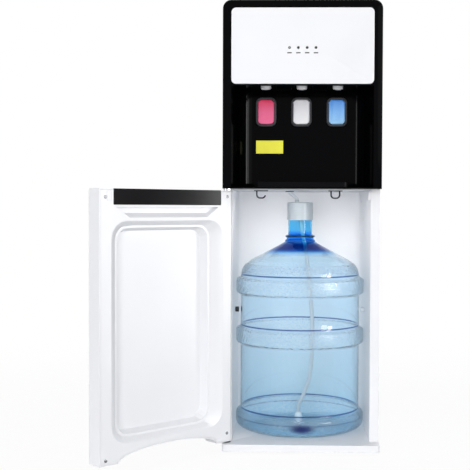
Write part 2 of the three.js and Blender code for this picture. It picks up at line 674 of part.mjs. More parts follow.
function waterPump() {
  const { motor, port } = PUMP;
  const body = box(-PUMP.length / 2, PUMP.length / 2, -PUMP.width / 2, PUMP.width / 2, 0, PUMP.height);
  return join(body, rod('x', motor.radius, motor.length, motor.x, 0, PUMP.height + 10, 20),
    rod('z', port.radius, port.height, port.x, 0, PUMP.height - 4, 12));
}

const jacketGrey = finish(0xe8e9ec, 0.8);
node(model, 'compressor', compressorPot(), castBlack).position.set(COMPRESSOR.x, COMPRESSOR.y, DECK_SEAT);
node(model, 'hot_tank', tank(HOT_TANK), stainless).position.set(HOT_TANK.x, HOT_TANK.y, DECK_SEAT);
node(model, 'cold_tank', tank(COLD_TANK), jacketGrey).position.set(COLD_TANK.x, COLD_TANK.y, DECK_SEAT);
node(model, 'water_pump', waterPump(), castBlack).position.set(PUMP.x, PUMP.y, DECK_SEAT);

const GROMMET_RIM = 9;
const GROMMET_BORE = HOSE_RADIUS + 0.9;
const grommetProfile = [
  [GROMMET_BORE, -1.5], [GROMMET_RIM, -1.5], [GROMMET_RIM, -SEAT_GAP], [GROMMET_WAIST, -SEAT_GAP],
  [GROMMET_WAIST, DECK_SHEET + SEAT_GAP], [GROMMET_RIM, DECK_SHEET + SEAT_GAP],
  [GROMMET_RIM, DECK_SHEET + 1.5],
  [GROMMET_BORE, DECK_SHEET + 1.5], [GROMMET_BORE, -1.5],
];
node(model, 'hose_grommet', turned(grommetProfile, 20), rubber)
  .position.set(GROMMET_X, BOTTLE_Y, DECK_UNDERSIDE);

// Straps under the deck that the probe is hung on while the bottle is changed.
const HOOK = {
  left: -81, right: 68.5, y: -110, width: 20, drop: 17, strap: 2.8, depth: 6, plate: 1.6, open: 7,
};

function hook(closed) {
  const half = HOOK.width / 2;
  const top = -SEAT_GAP;
  const outer = roundedRect(-half, half, -HOOK.drop, half * 2, half * 0.8);
  const inner = roundedRect(-half + HOOK.strap, half - HOOK.strap, -HOOK.drop + HOOK.strap, half * 2 + 5,
    half * 0.8 - HOOK.strap);
  const y0 = -HOOK.depth / 2;
  const y1 = HOOK.depth / 2;
  const above = box(-half - 1, half + 1, y0 - 1, y1 + 1, top - HOOK.plate / 2, 3 * half);
  let loop = cut(prismY(outer, y0, y1), prismY(inner, y0 - 1, y1 + 1), above);
  if (!closed) {
    loop = cut(loop, box(0, half + 1, y0 - 1, y1 + 1, -HOOK.drop + HOOK.open, 1));
  }
  return join(loop, box(-half - 4, half + 4, y0 - 1, y1 + 1, top - HOOK.plate, top));
}

node(model, 'probe_hook_left', hook(false), mattBlack).position.set(HOOK.left, HOOK.y, DECK_UNDERSIDE);
node(model, 'probe_hook_right', hook(true), mattBlack).position.set(HOOK.right, HOOK.y, DECK_UNDERSIDE);

// ---------------------------------------------------------------- tap housing

function recessPlan(extra, frontY) {
  const mouth = RECESS_MOUTH / 2 + extra;
  const rear = RECESS_BACK_WIDTH / 2 + extra;
  const back = RECESS_BACK + extra;
  const r = RECESS_CORNER + extra;
  const along = Math.max(0, (frontY - FASCIA_FRONT) / (back - r - FASCIA_FRONT));
  const start = mouth + (rear - mouth) * along;
  const shape = new THREE.Shape();
  shape.moveTo(-start, frontY);
  shape.lineTo(start, frontY);
  if (frontY < FASCIA_FRONT) shape.lineTo(mouth, FASCIA_FRONT);
  shape.lineTo(rear, back - r);
  shape.absarc(rear - r, back - r, r, 0, Math.PI / 2);
  shape.lineTo(-rear + r, back);
  shape.absarc(-rear + r, back - r, r, Math.PI / 2, Math.PI);
  if (frontY < FASCIA_FRONT) shape.lineTo(-mouth, FASCIA_FRONT);
  return shape;
}

const ledX = (index) => (index - (LED_COUNT - 1) / 2) * LED_PITCH;
const BOARD_FRONT = PANEL_SEAT + MOULD_WALL + BOARD_STANDOFF;

// One moulding: frame, curved recess, seat of the control panel and bosses between the taps.
function frontFascia() {
  const frame = cut(
    softPlate(housingOutline(0, FASCIA_BOTTOM), FASCIA_FRONT, FASCIA_BACK, FASCIA_EDGE),
    prismY(housingOutline(MOULD_WALL, RECESS_FLOOR), FASCIA_FRONT + MOULD_WALL, FASCIA_BACK + 1));
  const bucket = prismZ(recessPlan(MOULD_WALL, FASCIA_FRONT + 2), FASCIA_BOTTOM, CEILING + MOULD_WALL, 7);
  const halfPanel = PANEL_WIDTH / 2 + SEAT_GAP;
  const seat = box(-halfPanel - 2.5, halfPanel + 2.5, FASCIA_FRONT + 2, PANEL_SEAT + MOULD_WALL,
    RECESS_TOP, PANEL_TOP + SEAT_GAP + 2.5);
  const posts = [];
  for (const sx of [-1, 1]) {
    for (const sz of [-1, 1]) {
      posts.push(rod('y', 3, BOARD_STANDOFF + 1 - SEAT_GAP, sx * (BOARD_WIDTH / 2 - 5),
        PANEL_SEAT + MOULD_WALL - 1, LED_HEIGHT + sz * (BOARD_HEIGHT / 2 - 5), 12));
    }
  }
  const openings = [
    prismZ(recessPlan(0, FASCIA_FRONT - 5), RECESS_FLOOR, RECESS_TOP, 7),
    prismZ(recessPlan(0, FASCIA_FRONT + LIP_DEPTH), RECESS_TOP - 1, CEILING, 7),
    prismY(roundedRect(-halfPanel, halfPanel, PANEL_BOTTOM - SEAT_GAP, PANEL_TOP + SEAT_GAP,
      PANEL_CORNER + SEAT_GAP), FASCIA_FRONT - 5, PANEL_SEAT),
    rod('z', HINGE_PIN + SEAT_GAP, MOULD_WALL + 2, HINGE_X, HINGE_Y, FASCIA_BOTTOM - 1),
  ];
  for (let i = 0; i < LED_COUNT; i += 1) {
    openings.push(rod('y', LED_RADIUS + SEAT_GAP, MOULD_WALL + 2, ledX(i), PANEL_SEAT - 1, LED_HEIGHT, 12));
  }
  TAPS.forEach((tap, i) => {
    openings.push(rod('z', SPOUT_RADIUS - 2, MOULD_WALL + 2, tapX(i), SPOUT_Y, CEILING - 1));
    openings.push(box(tapX(i) - 8, tapX(i) + 8, RECESS_BACK - 1, RECESS_BACK + MOULD_WALL + 1,
      PADDLE_BOTTOM + 8, PADDLE_BOTTOM + 34));
  });
  const bosses = [-0.5, 0.5].map((k) => prismZ(
    roundedRect(k * TAP_PITCH - BOSS_WIDTH / 2, k * TAP_PITCH + BOSS_WIDTH / 2,
      SPOUT_Y - BOSS_DEPTH / 2, SPOUT_Y + BOSS_DEPTH / 2, 4), CEILING - SPOUT_DROP - 0.8, CEILING + 1));
  return join(cut(join(frame, bucket, seat, ...posts), ...openings), ...bosses);
}

node(model, 'front_fascia', frontFascia(), glossBlack);

function controlPanel() {
  const half = PANEL_WIDTH / 2;
  const plate = softPlate(roundedRect(-half, half, PANEL_BOTTOM, PANEL_TOP, PANEL_CORNER),
    PANEL_FRONT, PANEL_BACK, PANEL_EDGE, 4);
  const holes = Array.from({ length: LED_COUNT }, (_, i) =>
    rod('y', LED_RADIUS + SEAT_GAP, PANEL_THICKNESS + 4, ledX(i), PANEL_FRONT - 2, LED_HEIGHT, 12));
  return cut(plate, ...holes);
}

node(model, 'control_panel', controlPanel(), glossWhite);

const LENS_DOME = 0.8;
const lensLength = BOARD_FRONT - SEAT_GAP - PANEL_FRONT + LENS_DOME;
for (let i = 0; i < LED_COUNT; i += 1) {
  const profile = [
    [0, 0], [LED_RADIUS, 0], [LED_RADIUS, lensLength - LENS_DOME],
    [LED_RADIUS * 0.7, lensLength - LENS_DOME * 0.3], [0, lensLength],
  ];
  const glass = finish(i ? 0x5b605f : 0xb7c9c0, 0.2);
  const lens = node(model, `indicator_lens_${i + 1}`, turned(profile, 12), glass);
  lens.position.set(ledX(i), BOARD_FRONT - SEAT_GAP, LED_HEIGHT);
  lens.rotation.x = Math.PI / 2;
}

node(model, 'display_board', box(-BOARD_WIDTH / 2, BOARD_WIDTH / 2, BOARD_FRONT,
  BOARD_FRONT + BOARD_THICKNESS,
  LED_HEIGHT - BOARD_HEIGHT / 2, LED_HEIGHT + BOARD_HEIGHT / 2), finish(0x1d6b3a, 0.5));

// Valve body above the ceiling, a waist through it and the spout that shows below it.
function tapValve() {
  const spout = SPOUT_RADIUS;
  const waist = SPOUT_RADIUS - 2 - SEAT_GAP;
  const roof = MOULD_WALL + SEAT_GAP;
  const body = turned([
    [SPOUT_BORE, -SPOUT_DROP], [spout - 1.5, -SPOUT_DROP], [spout, -SPOUT_DROP + 1.5], [spout, -SEAT_GAP],
    [waist, -SEAT_GAP], [waist, roof], [VALVE_RADIUS, roof], [VALVE_RADIUS, roof + VALVE_HEIGHT],
    [VALVE_RADIUS - 4, roof + VALVE_HEIGHT + 4], [0, roof + VALVE_HEIGHT + 4], [0, roof + 8],
    [SPOUT_BORE - 1, roof + 4], [SPOUT_BORE, -SPOUT_DROP],
  ], 16);
  const inletLength = RECESS_BACK - SPOUT_Y + 12;
  return join(body, rod('y', VALVE_INLET, inletLength, 0, 0, roof + VALVE_HEIGHT / 2, 12));
}

const valveGeometry = tapValve();
TAPS.forEach((tap, i) => {
  node(model, `tap_valve_${tap.name}`, valveGeometry.clone(), whiteMoulding)
    .position.set(tapX(i), SPOUT_Y, CEILING);
});

// Paddles hang on two stub axles in the sides of their bezels.
const HINGE_DROP = 6; // paddle hinge below the top edge of the paddle
const BEZEL_BACK = RECESS_BACK - SEAT_GAP;
const BEZEL_FRONT = BEZEL_BACK - BEZEL_DEPTH;
const PADDLE_AXIS_Y = BEZEL_FRONT + PADDLE_THICKNESS / 2;
const PADDLE_AXIS_Z = PADDLE_BOTTOM + PADDLE_HEIGHT - HINGE_DROP;
const AXLE_REACH = 2.4;

function paddle() {
  const half = PADDLE_WIDTH / 2;
  const bottom = HINGE_DROP - PADDLE_HEIGHT;
  const front = -PADDLE_THICKNESS / 2;
  const face = roundedRect(-half, half, bottom, HINGE_DROP, PADDLE_CORNER);
  const plate = softPlate(face, front, -front, 1.6, 3, 1);
  const dish = prismY(roundedRect(-half + 4, half - 4, bottom + 4, HINGE_DROP - 4, PADDLE_CORNER - 3),
    front - 1, front + 0.8, 3);
  const ridges = [0, 1, 2, 3].map((i) =>
    box(-5, 5, front + 0.2, front + 1.5, bottom + 9 + i * 3.6, bottom + 10.4 + i * 3.6));
  const stem = box(-4, 4, -front - 1, -front + 6, bottom + 14, bottom + 22);
  const reach = half + PADDLE_CLEARANCE + AXLE_REACH;
  const axle = rod('x', PADDLE_PIN, 2 * reach, -reach, 0, 0, 12);
  return join(cut(plate, dish), ...ridges, stem, axle);
}

function paddleBezel() {
  const half = PADDLE_WIDTH / 2 + PADDLE_CLEARANCE;
  const bottom = HINGE_DROP - PADDLE_HEIGHT - PADDLE_CLEARANCE;
  const top = HINGE_DROP + PADDLE_CLEARANCE;
  const y0 = BEZEL_FRONT - PADDLE_AXIS_Y;
  const y1 = BEZEL_BACK - PADDLE_AXIS_Y;
  const ring = softPlate(roundedRect(-half - BEZEL_RIM, half + BEZEL_RIM, bottom - BEZEL_RIM,
    top + BEZEL_RIM,
    PADDLE_CORNER + BEZEL_RIM), y0, y1, 1.4, 3, 1);
  const window = prismY(roundedRect(-half, half, bottom, top, PADDLE_CORNER * 0.9), y0 - 2, y1 + 2, 3);
  const reach = half + AXLE_REACH + SEAT_GAP;
  return cut(ring, window, rod('x', PADDLE_PIN + SEAT_GAP, 2 * reach, -reach, 0, 0, 12));
}

const paddleGeometry = paddle();
const bezelGeometry = paddleBezel();
TAPS.forEach((tap, i) => {
  node(model, `paddle_bezel_${tap.name}`, bezelGeometry.clone(), mattBlack)
    .position.set(tapX(i), PADDLE_AXIS_Y, PADDLE_AXIS_Z);
  const lever = node(model, `paddle_${tap.name}`, paddleGeometry.clone(), finish(tap.colour, 0.3));
  lever.position.set(tapX(i), PADDLE_AXIS_Y, PADDLE_AXIS_Z);
  lever.rotation.x = -PADDLE_TILT;
});

// Drip tray with a lifted-out grille that rests on a ledge inside its rim.
const TRAY_Z = RECESS_FLOOR + SEAT_GAP;
const TRAY_FRONT = FASCIA_FRONT + 2;
const TRAY_BACK = RECESS_BACK - MOULD_WALL;
const GRILLE_TOP = TRAY_Z + TRAY_HEIGHT - 0.6;
const GRILLE_BOTTOM = GRILLE_TOP - GRILLE_THICKNESS;

function trayOutline(inset) {
  const half = TRAY_WIDTH / 2 - inset;
  return roundedRect(-half, half, TRAY_FRONT + inset, TRAY_BACK - inset, TRAY_CORNER - inset * 0.8);
}

node(model, 'drip_tray', cut(
  prismZ(trayOutline(0), TRAY_Z, TRAY_Z + TRAY_HEIGHT),
  prismZ(trayOutline(TRAY_WALL), GRILLE_BOTTOM - SEAT_GAP, TRAY_Z + TRAY_HEIGHT + 1),
  prismZ(trayOutline(TRAY_WALL + TRAY_LEDGE), TRAY_Z + TRAY_WALL, TRAY_Z + TRAY_HEIGHT)), mattBlack);

function dripGrille() {
  const run = TRAY_WIDTH - 2 * (TRAY_WALL + TRAY_LEDGE) - 10;
  const pitch = run / GRILLE_SLOTS;
  const slots = Array.from({ length: GRILLE_SLOTS }, (_, i) => {
    const x = -run / 2 + pitch * (i + 0.5);
    return box(x - GRILLE_SLOT_WIDTH / 2, x + GRILLE_SLOT_WIDTH / 2, TRAY_FRONT + 12, TRAY_BACK - 12,
      GRILLE_BOTTOM - 1, GRILLE_TOP + 1);
  });
  return cut(prismZ(trayOutline(TRAY_WALL + SEAT_GAP), GRILLE_BOTTOM, GRILLE_TOP), ...slots);
}

node(model, 'drip_grille', dripGrille(), mattBlack);

// ---------------------------------------------------------------- hinge fittings and catch

const lowerPinFoot = FLOOR_CLEARANCE + MOULD_WALL + SEAT_GAP;
const lowerPinLength = DOOR_BOTTOM + HINGE_BORE - 1 - lowerPinFoot;
const lowerPin = turned([
  [0, 0], [HINGE_PIN, 0], [HINGE_PIN, lowerPinLength - 1], [HINGE_PIN - 1, lowerPinLength],
  [0, lowerPinLength],
], 16);
node(model, 'hinge_pin_lower', lowerPin, stainless).position.set(HINGE_X, HINGE_Y, lowerPinFoot);

const WASHER_RADIUS = 8;
const washer = turned([
  [HINGE_PIN + SEAT_GAP, 0], [WASHER_RADIUS, 0], [WASHER_RADIUS, DOOR_BOTTOM_GAP - 2 * SEAT_GAP],
  [HINGE_PIN + SEAT_GAP, DOOR_BOTTOM_GAP - 2 * SEAT_GAP], [HINGE_PIN + SEAT_GAP, 0],
], 24);
node(model, 'hinge_washer', washer, rubber).position.set(HINGE_X, HINGE_Y, BASE_TOP + SEAT_GAP);

const upperPin = turned([
  [0, -HINGE_BORE], [HINGE_PIN - 1, -HINGE_BORE], [HINGE_PIN, -HINGE_BORE + 1], [HINGE_PIN, SEAT_GAP],
  [WASHER_RADIUS - 1, SEAT_GAP], [WASHER_RADIUS - 1, DOOR_TOP_GAP - SEAT_GAP],
  [HINGE_PIN, DOOR_TOP_GAP - SEAT_GAP], [HINGE_PIN, DOOR_TOP_GAP + MOULD_WALL],
  [0, DOOR_TOP_GAP + MOULD_WALL],
], 20);
node(model, 'hinge_pin_upper', upperPin, stainless).position.set(HINGE_X, HINGE_Y, DOOR_TOP);

const CATCH = { width: 5, depth: 14, height: 17, drop: 2.5 };
const CATCH_TOP = DECK_UNDERSIDE - CATCH.drop;
node(model, 'door_catch', box(HALF_OPENING - SEAT_GAP - CATCH.width, HALF_OPENING - SEAT_GAP,
  CABINET_FRONT + SEAT_GAP, CABINET_FRONT + CATCH.depth, CATCH_TOP - CATCH.height, CATCH_TOP), mattBlack);

// ---------------------------------------------------------------- door, drawn closed and turned open

const doorLeaf = new THREE.Group();
doorLeaf.position.set(HINGE_X, HINGE_Y, 0);
doorLeaf.rotation.z = -DOOR_OPEN;
model.add(doorLeaf);
const door = new THREE.Group();
door.position.set(-HINGE_X, -HINGE_Y, 0);
doorLeaf.add(door);

// Front outline of the door with the arched lower edge, drawn in by an inset.
function doorOutline(inset) {
  const x = HALF_WIDTH - inset;
  const bottom = DOOR_BOTTOM + inset;
  const top = DOOR_TOP - inset;
  const shape = new THREE.Shape();
  shape.moveTo(-x, bottom);
  shape.lineTo(-ARCH_HALF_WIDTH - inset, bottom);
  shape.absellipse(0, bottom, ARCH_HALF_WIDTH + inset, ARCH_RISE, Math.PI, 0, true, 0);
  shape.lineTo(x, bottom);
  shape.lineTo(x, top);
  shape.lineTo(-x, top);
  return shape;
}

// What the corner and the front flange of the cabinet sweep, seen from the turning door: a wedge of the
// hinge stile, and everything further from the hinge axis than the flange on the side that turns past it.
function cabinetSweep() {
  const turn = (x, y) => [
    x * Math.cos(DOOR_OPEN) - y * Math.sin(DOOR_OPEN), x * Math.sin(DOOR_OPEN) + y * Math.cos(DOOR_OPEN)];
  const corner = turn(-HINGE_INSET, CABINET_FRONT - HINGE_Y);
  const along = turn(60, 0);
  const back = turn(0, 60);
  const apex = [HINGE_X + corner[0] + RELIEF_CLEARANCE * Math.SQRT2, HINGE_Y + corner[1]];
  const wedge = polygon([
    apex, [apex[0] + along[0], apex[1] + along[1]],
    [apex[0] + along[0] + back[0], apex[1] + along[1] + back[1]], [apex[0] + back[0], apex[1] + back[1]],
  ]);
  const near = CABINET_FRONT - HINGE_Y - STILE_CLEARANCE;
  const far = near + 12;
  const sector = new THREE.Shape();
  sector.absarc(HINGE_X, HINGE_Y, near, Math.PI / 2, Math.PI / 2 + DOOR_OPEN, false);
  sector.absarc(HINGE_X, HINGE_Y, far, Math.PI / 2 + DOOR_OPEN, Math.PI / 2, true);
  const bottom = DOOR_BOTTOM - 1;
  const top = DOOR_TOP + 1;
  return [prismZ(wedge, bottom, top), prismZ(sector, bottom, top, 12)];
}

const LINER_REBATE = LINER_SHEET + SEAT_GAP;
const TRIM_FLOOR = DOOR_TOP - TRIM_HEIGHT;
const SHELF = 1.7;

function doorShell() {
  const bottom = DOOR_BOTTOM - 1;
  const height = DOOR_TOP + 1;
  const outer = softPlate(doorOutline(0), DOOR_OUTER, DOOR_INNER, DOOR_EDGE, 10);
  const skin = DOOR_OUTER + DOOR_WALL + 0.4;
  const hollow = prismY(doorOutline(DOOR_WALL), skin, DOOR_INNER + 1, 10);
  const post = box(-HALF_WIDTH - 1, -HALF_WIDTH + HINGE_POST, skin - 1, DOOR_INNER + 2, bottom, height);
  const rebate = prismY(doorOutline(DOOR_WALL), DOOR_INNER - LINER_REBATE, DOOR_INNER + 1, 10);
  const shelf = box(-TRIM_WIDTH / 2 - 6, TRIM_WIDTH / 2 + 6, skin - 1, DOOR_INNER - LINER_REBATE,
    TRIM_FLOOR - SEAT_GAP - SHELF, TRIM_FLOOR - SEAT_GAP);
  const shell = join(cut(outer, cut(hollow, post)), shelf);
  const trimGap = TRIM_WIDTH / 2 + SEAT_GAP;
  return cut(shell, rebate,
    box(-trimGap, trimGap, skin, DOOR_INNER + 1, TRIM_FLOOR - SEAT_GAP, height),
    ...cabinetSweep(),
    rod('z', HINGE_PIN + SEAT_GAP, HINGE_BORE + 1, HINGE_X, HINGE_Y, bottom),
    rod('z', HINGE_PIN + SEAT_GAP, HINGE_BORE + 2, HINGE_X, HINGE_Y, DOOR_TOP - HINGE_BORE - 1));
}

node(door, 'door_shell', doorShell(), whiteMoulding);

// A ring of points round a rounded rectangle in X and Z at one depth.
function rectRing(x0, x1, z0, z1, radius, y) {
  const corners = [
    [x1 - radius, z0 + radius], [x1 - radius, z1 - radius], [x0 + radius, z1 - radius], [x0 + radius, z0 + radius],
  ];
  const steps = 4;
  return corners.flatMap(([x, z], corner) => Array.from({ length: steps + 1 }, (_, i) => {
    const angle = (corner - 1 + i / steps) * Math.PI / 2;
    return [x + radius * Math.cos(angle), y, z + radius * Math.sin(angle)];
  }));
}

const PAN = { half: 133, bottom: 54, top: 460, corner: 34 };
const COVE = { side: 28, end: 10 };
const STEP = { ledge: 4, drop: 6 };

// Rings of the door pan from its mouth to its floor, grown outwards by the sheet.
function panRings(grow, rise) {
  const sections = [
    [0, 0, -rise], [COVE.side * 0.55, COVE.end * 0.55, COVE_DEPTH * 0.35],
    [COVE.side, COVE.end, COVE_DEPTH], [COVE.side + STEP.ledge, COVE.end + STEP.ledge, COVE_DEPTH],
    [COVE.side + STEP.ledge + STEP.drop, COVE.end + STEP.ledge + STEP.drop, PAN_DEPTH],
  ];
  return sections.map(([side, end, depth]) => {
    const half = PAN.half - side + grow;
    const y = DOOR_INNER - depth - (depth > 0 ? grow : 0);
    return rectRing(-half, half, PAN.bottom + end - grow, PAN.top - end + grow, PAN.corner - side * 0.3, y);
  });
}

const STRIKE = { width: 9, height: 16, sheet: 0.9 };
const strikeX = HALF_OPENING - SEAT_GAP - CATCH.width / 2;
const strikeZ = (CATCH_TOP - CATCH.height + DOOR_TOP - STRIKE.height / 2) / 2;

function strikePocket() {
  const halfW = STRIKE.width / 2 + SEAT_GAP;
  const halfH = STRIKE.height / 2 + SEAT_GAP;
  return box(strikeX - halfW, strikeX + halfW, DOOR_INNER - STRIKE.sheet - SEAT_GAP, DOOR_INNER + 1,
    strikeZ - halfH, strikeZ + halfH);
}

function doorLiner() {
  const flange = prismY(doorOutline(DOOR_WALL + SEAT_GAP), DOOR_INNER - LINER_SHEET, DOOR_INNER, 10);
  const scoopTop = TRIM_FLOOR - SEAT_GAP - SHELF - LINER_SHEET - SEAT_GAP;
  const scoop = (grow) => {
    const wide = TRIM_WIDTH / 2 - 6 + grow;
    const narrow = TRIM_WIDTH / 2 - 36 + grow;
    const low = scoopTop - SCOOP_HEIGHT;
    const mouth = grow ? DOOR_INNER : DOOR_INNER + 1;
    const high = scoopTop + grow;
    const ring = (y, w, n, bottom) => [[-w, y, high], [-n, y, bottom], [n, y, bottom], [w, y, high]];
    return loft([
      ring(mouth, wide, narrow, low - grow * 0.5),
      ring(DOOR_INNER - SCOOP_DEPTH - grow, wide - 4, narrow + 6, low + 9 - grow),
    ]);
  };
  const pan = loft(panRings(LINER_SHEET, 0));
  const hollow = loft(panRings(0, 1));
  const trimGap = TRIM_WIDTH / 2 + SEAT_GAP;
  return cut(join(flange, pan, scoop(LINER_SHEET)), hollow, scoop(0),
    box(-trimGap, trimGap, DOOR_INNER - 20, DOOR_INNER + 1, TRIM_FLOOR - SEAT_GAP, DOOR_TOP + 1),
    strikePocket(), ...cabinetSweep());
}

node(door, 'door_liner', doorLiner(), whiteMoulding);
node(door, 'door_strike', box(strikeX - STRIKE.width / 2, strikeX + STRIKE.width / 2,
  DOOR_INNER - STRIKE.sheet, DOOR_INNER, strikeZ - STRIKE.height / 2, strikeZ + STRIKE.height / 2),
    stainless);

function doorTopTrim() {
  const front = DOOR_OUTER + DOOR_WALL + 0.4 + SEAT_GAP;
  const half = TRIM_WIDTH / 2;
  const body = prismY(roundedRect(-half, half, TRIM_FLOOR, DOOR_TOP, 2), front, DOOR_INNER, 2);
  const grip = prismZ(roundedRect(-half + 12, half - 12, front + 4, DOOR_INNER - 9, 6),
    TRIM_FLOOR + 7, DOOR_TOP + 1);
  return cut(body, grip);
}

node(door, 'door_top_trim', doorTopTrim(), glossBlack);

// ---------------------------------------------------------------- bottle and probe

const bottleGroup = new THREE.Group();
bottleGroup.position.set(0, BOTTLE_Y, BOTTLE_FOOT);
model.add(bottleGroup);

const SHOULDER = [[123.5, 334], [117, 346.5], [100, 358], [77, 369.5], [65.5, 375.5], [46, 386]];
const NECK_RING = { radius: 32.2, bottom: 393, top: 407 };

// Half of the bottle in section, drawn in by the wall for the inner skin.
function bottleSkin(inset, mouth) {
  const big = BOTTLE_RADIUS - inset;
  const waist = BOTTLE_WAIST - inset;
  const rise = inset * 0.6;
  const ring = ([low, high]) => [
    [waist, low + rise], [big, low + rise + RING_SLOPE], [big, high - rise - RING_SLOPE],
    [waist, high - rise],
  ];
  const shoulder = SHOULDER.map(([r, h]) => [r - inset * 0.5, h - inset]);
  return [
    [0, 5 + inset], [62, 5 + inset], [78, 1 + inset], [102, inset], [118 - rise, 1.8 + inset],
    [128.5 - inset, 6.5 + rise], [133.6 - inset, 12 + rise], [big, 19], [big, 34.5 - rise],
    [130.5 - inset, 40 - rise], [waist, 43.5 - rise],
    ...RINGS.flatMap(ring),
    ...shoulder,
    [NECK_RING.radius - inset, NECK_RING.bottom - inset],
    [NECK_RING.radius - inset, NECK_RING.top - inset * 0.7],
    [NECK_RADIUS - inset, NECK_RING.top + 1.5], [NECK_RADIUS - inset, mouth],
  ];
}

const bottleShell = cut(
  turned([...bottleSkin(0, NECK_TOP), [0, NECK_TOP]], 32),
  turned([...bottleSkin(BOTTLE_WALL, NECK_TOP + 5), [0, NECK_TOP + 5]], 32));
node(bottleGroup, 'bottle', bottleShell, bottleBlue);

const CAP_ROOF = NECK_TOP + 1; // underside of the cap roof
const CAP_FOOT = CAP_ROOF + CAP_TOP - CAP_SKIRT;
const NIPPLE = { x: -7, radius: 4.6, height: 5 };
const SPIGOT = { radius: 6, length: 10 };
const capInner = NECK_RADIUS + SEAT_GAP;
const capOuter = capInner + CAP_WALL;
const cap = join(
  turned([
    [0, CAP_ROOF], [capInner, CAP_ROOF], [capInner, CAP_FOOT], [capOuter, CAP_FOOT],
    [capOuter, CAP_ROOF + CAP_TOP - 2], [capOuter - 2, CAP_ROOF + CAP_TOP], [0, CAP_ROOF + CAP_TOP],
  ], 32),
  rod('z', NIPPLE.radius, NIPPLE.height + 1, NIPPLE.x, 0, CAP_ROOF + CAP_TOP - 1, 14),
  rod('z', SPIGOT.radius, SPIGOT.length + 1, 0, 0, CAP_ROOF - SPIGOT.length, 14));
node(bottleGroup, 'probe_cap', cap, glossWhite);

// The stiff suction tube bows to one side on its way to the bottom of the bottle.
const STRAINER = { x: -2, bottom: 9, height: 22, radius: 8 };
const TUBE_ROUTE = [
  [0, 0, CAP_ROOF - SPIGOT.length - SEAT_GAP], [2, 0, 430], [12, 0, 376], [22, 0, 289], [27, 0, 211],
  [26, 0, 151], [20, 0, 100], [8, 0, 66], [STRAINER.x, 0, 46],
  [STRAINER.x, 0, STRAINER.bottom + STRAINER.height + SEAT_GAP],
];
node(bottleGroup, 'suction_tube', tube(TUBE_ROUTE, TUBE_RADIUS, 26), paleHose);

const strainerBody = turned([
  [0, 0], [STRAINER.radius - 1, 0], [STRAINER.radius, 1], [STRAINER.radius, STRAINER.height - 4],
  [TUBE_RADIUS + 1, STRAINER.height], [0, STRAINER.height],
], 18);
const strainerSlots = [0, 1, 2].map((i) => box(-12, 12, -1, 1, 3, 13).rotateZ(i * Math.PI / 3));
node(bottleGroup, 'probe_strainer', cut(strainerBody, ...strainerSlots), glossWhite)
  .position.set(STRAINER.x, 0, STRAINER.bottom);

const NIPPLE_TOP = BOTTLE_FOOT + SEAT_GAP + CAP_ROOF + CAP_TOP + NIPPLE.height;

// Supply hose: up from the probe through the deck, a slack bend and down to the pump.
const PUMP_PORT = { x: PUMP.x + PUMP.port.x, z: DECK_SEAT + PUMP.height - 4 + PUMP.port.height + SEAT_GAP };
const HOSE_ROUTE = [
  [NIPPLE.x, BOTTLE_Y, NIPPLE_TOP], [NIPPLE.x, BOTTLE_Y, NIPPLE_TOP + 1],
  [NIPPLE.x - 7, BOTTLE_Y, NIPPLE_TOP + 8], [GROMMET_X, BOTTLE_Y, DECK_UNDERSIDE - 2],
  [GROMMET_X, BOTTLE_Y, DECK_TOP + 3], [GROMMET_X, BOTTLE_Y, DECK_TOP + 30],
  [GROMMET_X + 2.5, BOTTLE_Y + 2, DECK_TOP + 80], [-16, 20, DECK_TOP + 170], [-20, 70, DECK_TOP + 192],
  [-40, 112, DECK_TOP + 140], [PUMP_PORT.x, PUMP.y, DECK_TOP + 80], [PUMP_PORT.x, PUMP.y, PUMP_PORT.z],
];
node(model, 'supply_hose', tube(HOSE_ROUTE, HOSE_RADIUS, 36), paleHose);

export default model;
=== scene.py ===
"""Bottom-load water cooler: finishes, fine detail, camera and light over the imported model."""

import json
import logging
import math
from dataclasses import dataclass
from enum import Enum
from functools import cache
from typing import Callable, Sequence

import bmesh
import bpy
from bmesh.types import BMesh, BMVert
from bpy.types import ColorRamp, Material, Mesh, NodeSocket, Object, World
from mathutils import Matrix, Vector


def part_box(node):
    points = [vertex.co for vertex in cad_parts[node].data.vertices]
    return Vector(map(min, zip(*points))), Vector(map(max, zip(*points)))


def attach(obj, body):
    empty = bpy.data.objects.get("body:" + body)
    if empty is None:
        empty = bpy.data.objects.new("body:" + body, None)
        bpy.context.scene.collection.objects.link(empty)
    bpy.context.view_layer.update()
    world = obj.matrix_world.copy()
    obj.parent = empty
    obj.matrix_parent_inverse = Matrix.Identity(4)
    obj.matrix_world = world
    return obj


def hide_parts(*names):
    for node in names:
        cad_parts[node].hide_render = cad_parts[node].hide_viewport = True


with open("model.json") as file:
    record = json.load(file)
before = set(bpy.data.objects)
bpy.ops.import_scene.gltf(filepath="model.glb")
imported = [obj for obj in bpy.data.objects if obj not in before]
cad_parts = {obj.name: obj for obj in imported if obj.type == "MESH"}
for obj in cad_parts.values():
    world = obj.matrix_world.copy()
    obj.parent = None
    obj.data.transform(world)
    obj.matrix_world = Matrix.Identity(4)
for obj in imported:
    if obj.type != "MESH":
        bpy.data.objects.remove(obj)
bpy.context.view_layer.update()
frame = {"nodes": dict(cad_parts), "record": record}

LOG = logging.getLogger("cooler")
MM = 0.001
PHOTO_PIXELS = 470
SENSOR = 36.0  # width of the camera's sensor, in millimetres
SHARP = 35.0  # edges sharper than this stay sharp, in degrees
FLAT = 0.4  # faces that meet at less than this are one face, in degrees
WELD = 2e-6  # points closer than this are one point, in metres

Point = tuple[float, float, float]
Colour = Point
Pair = tuple[float, float]
Builder = Callable[[BMesh], None]


# ---- shader maths


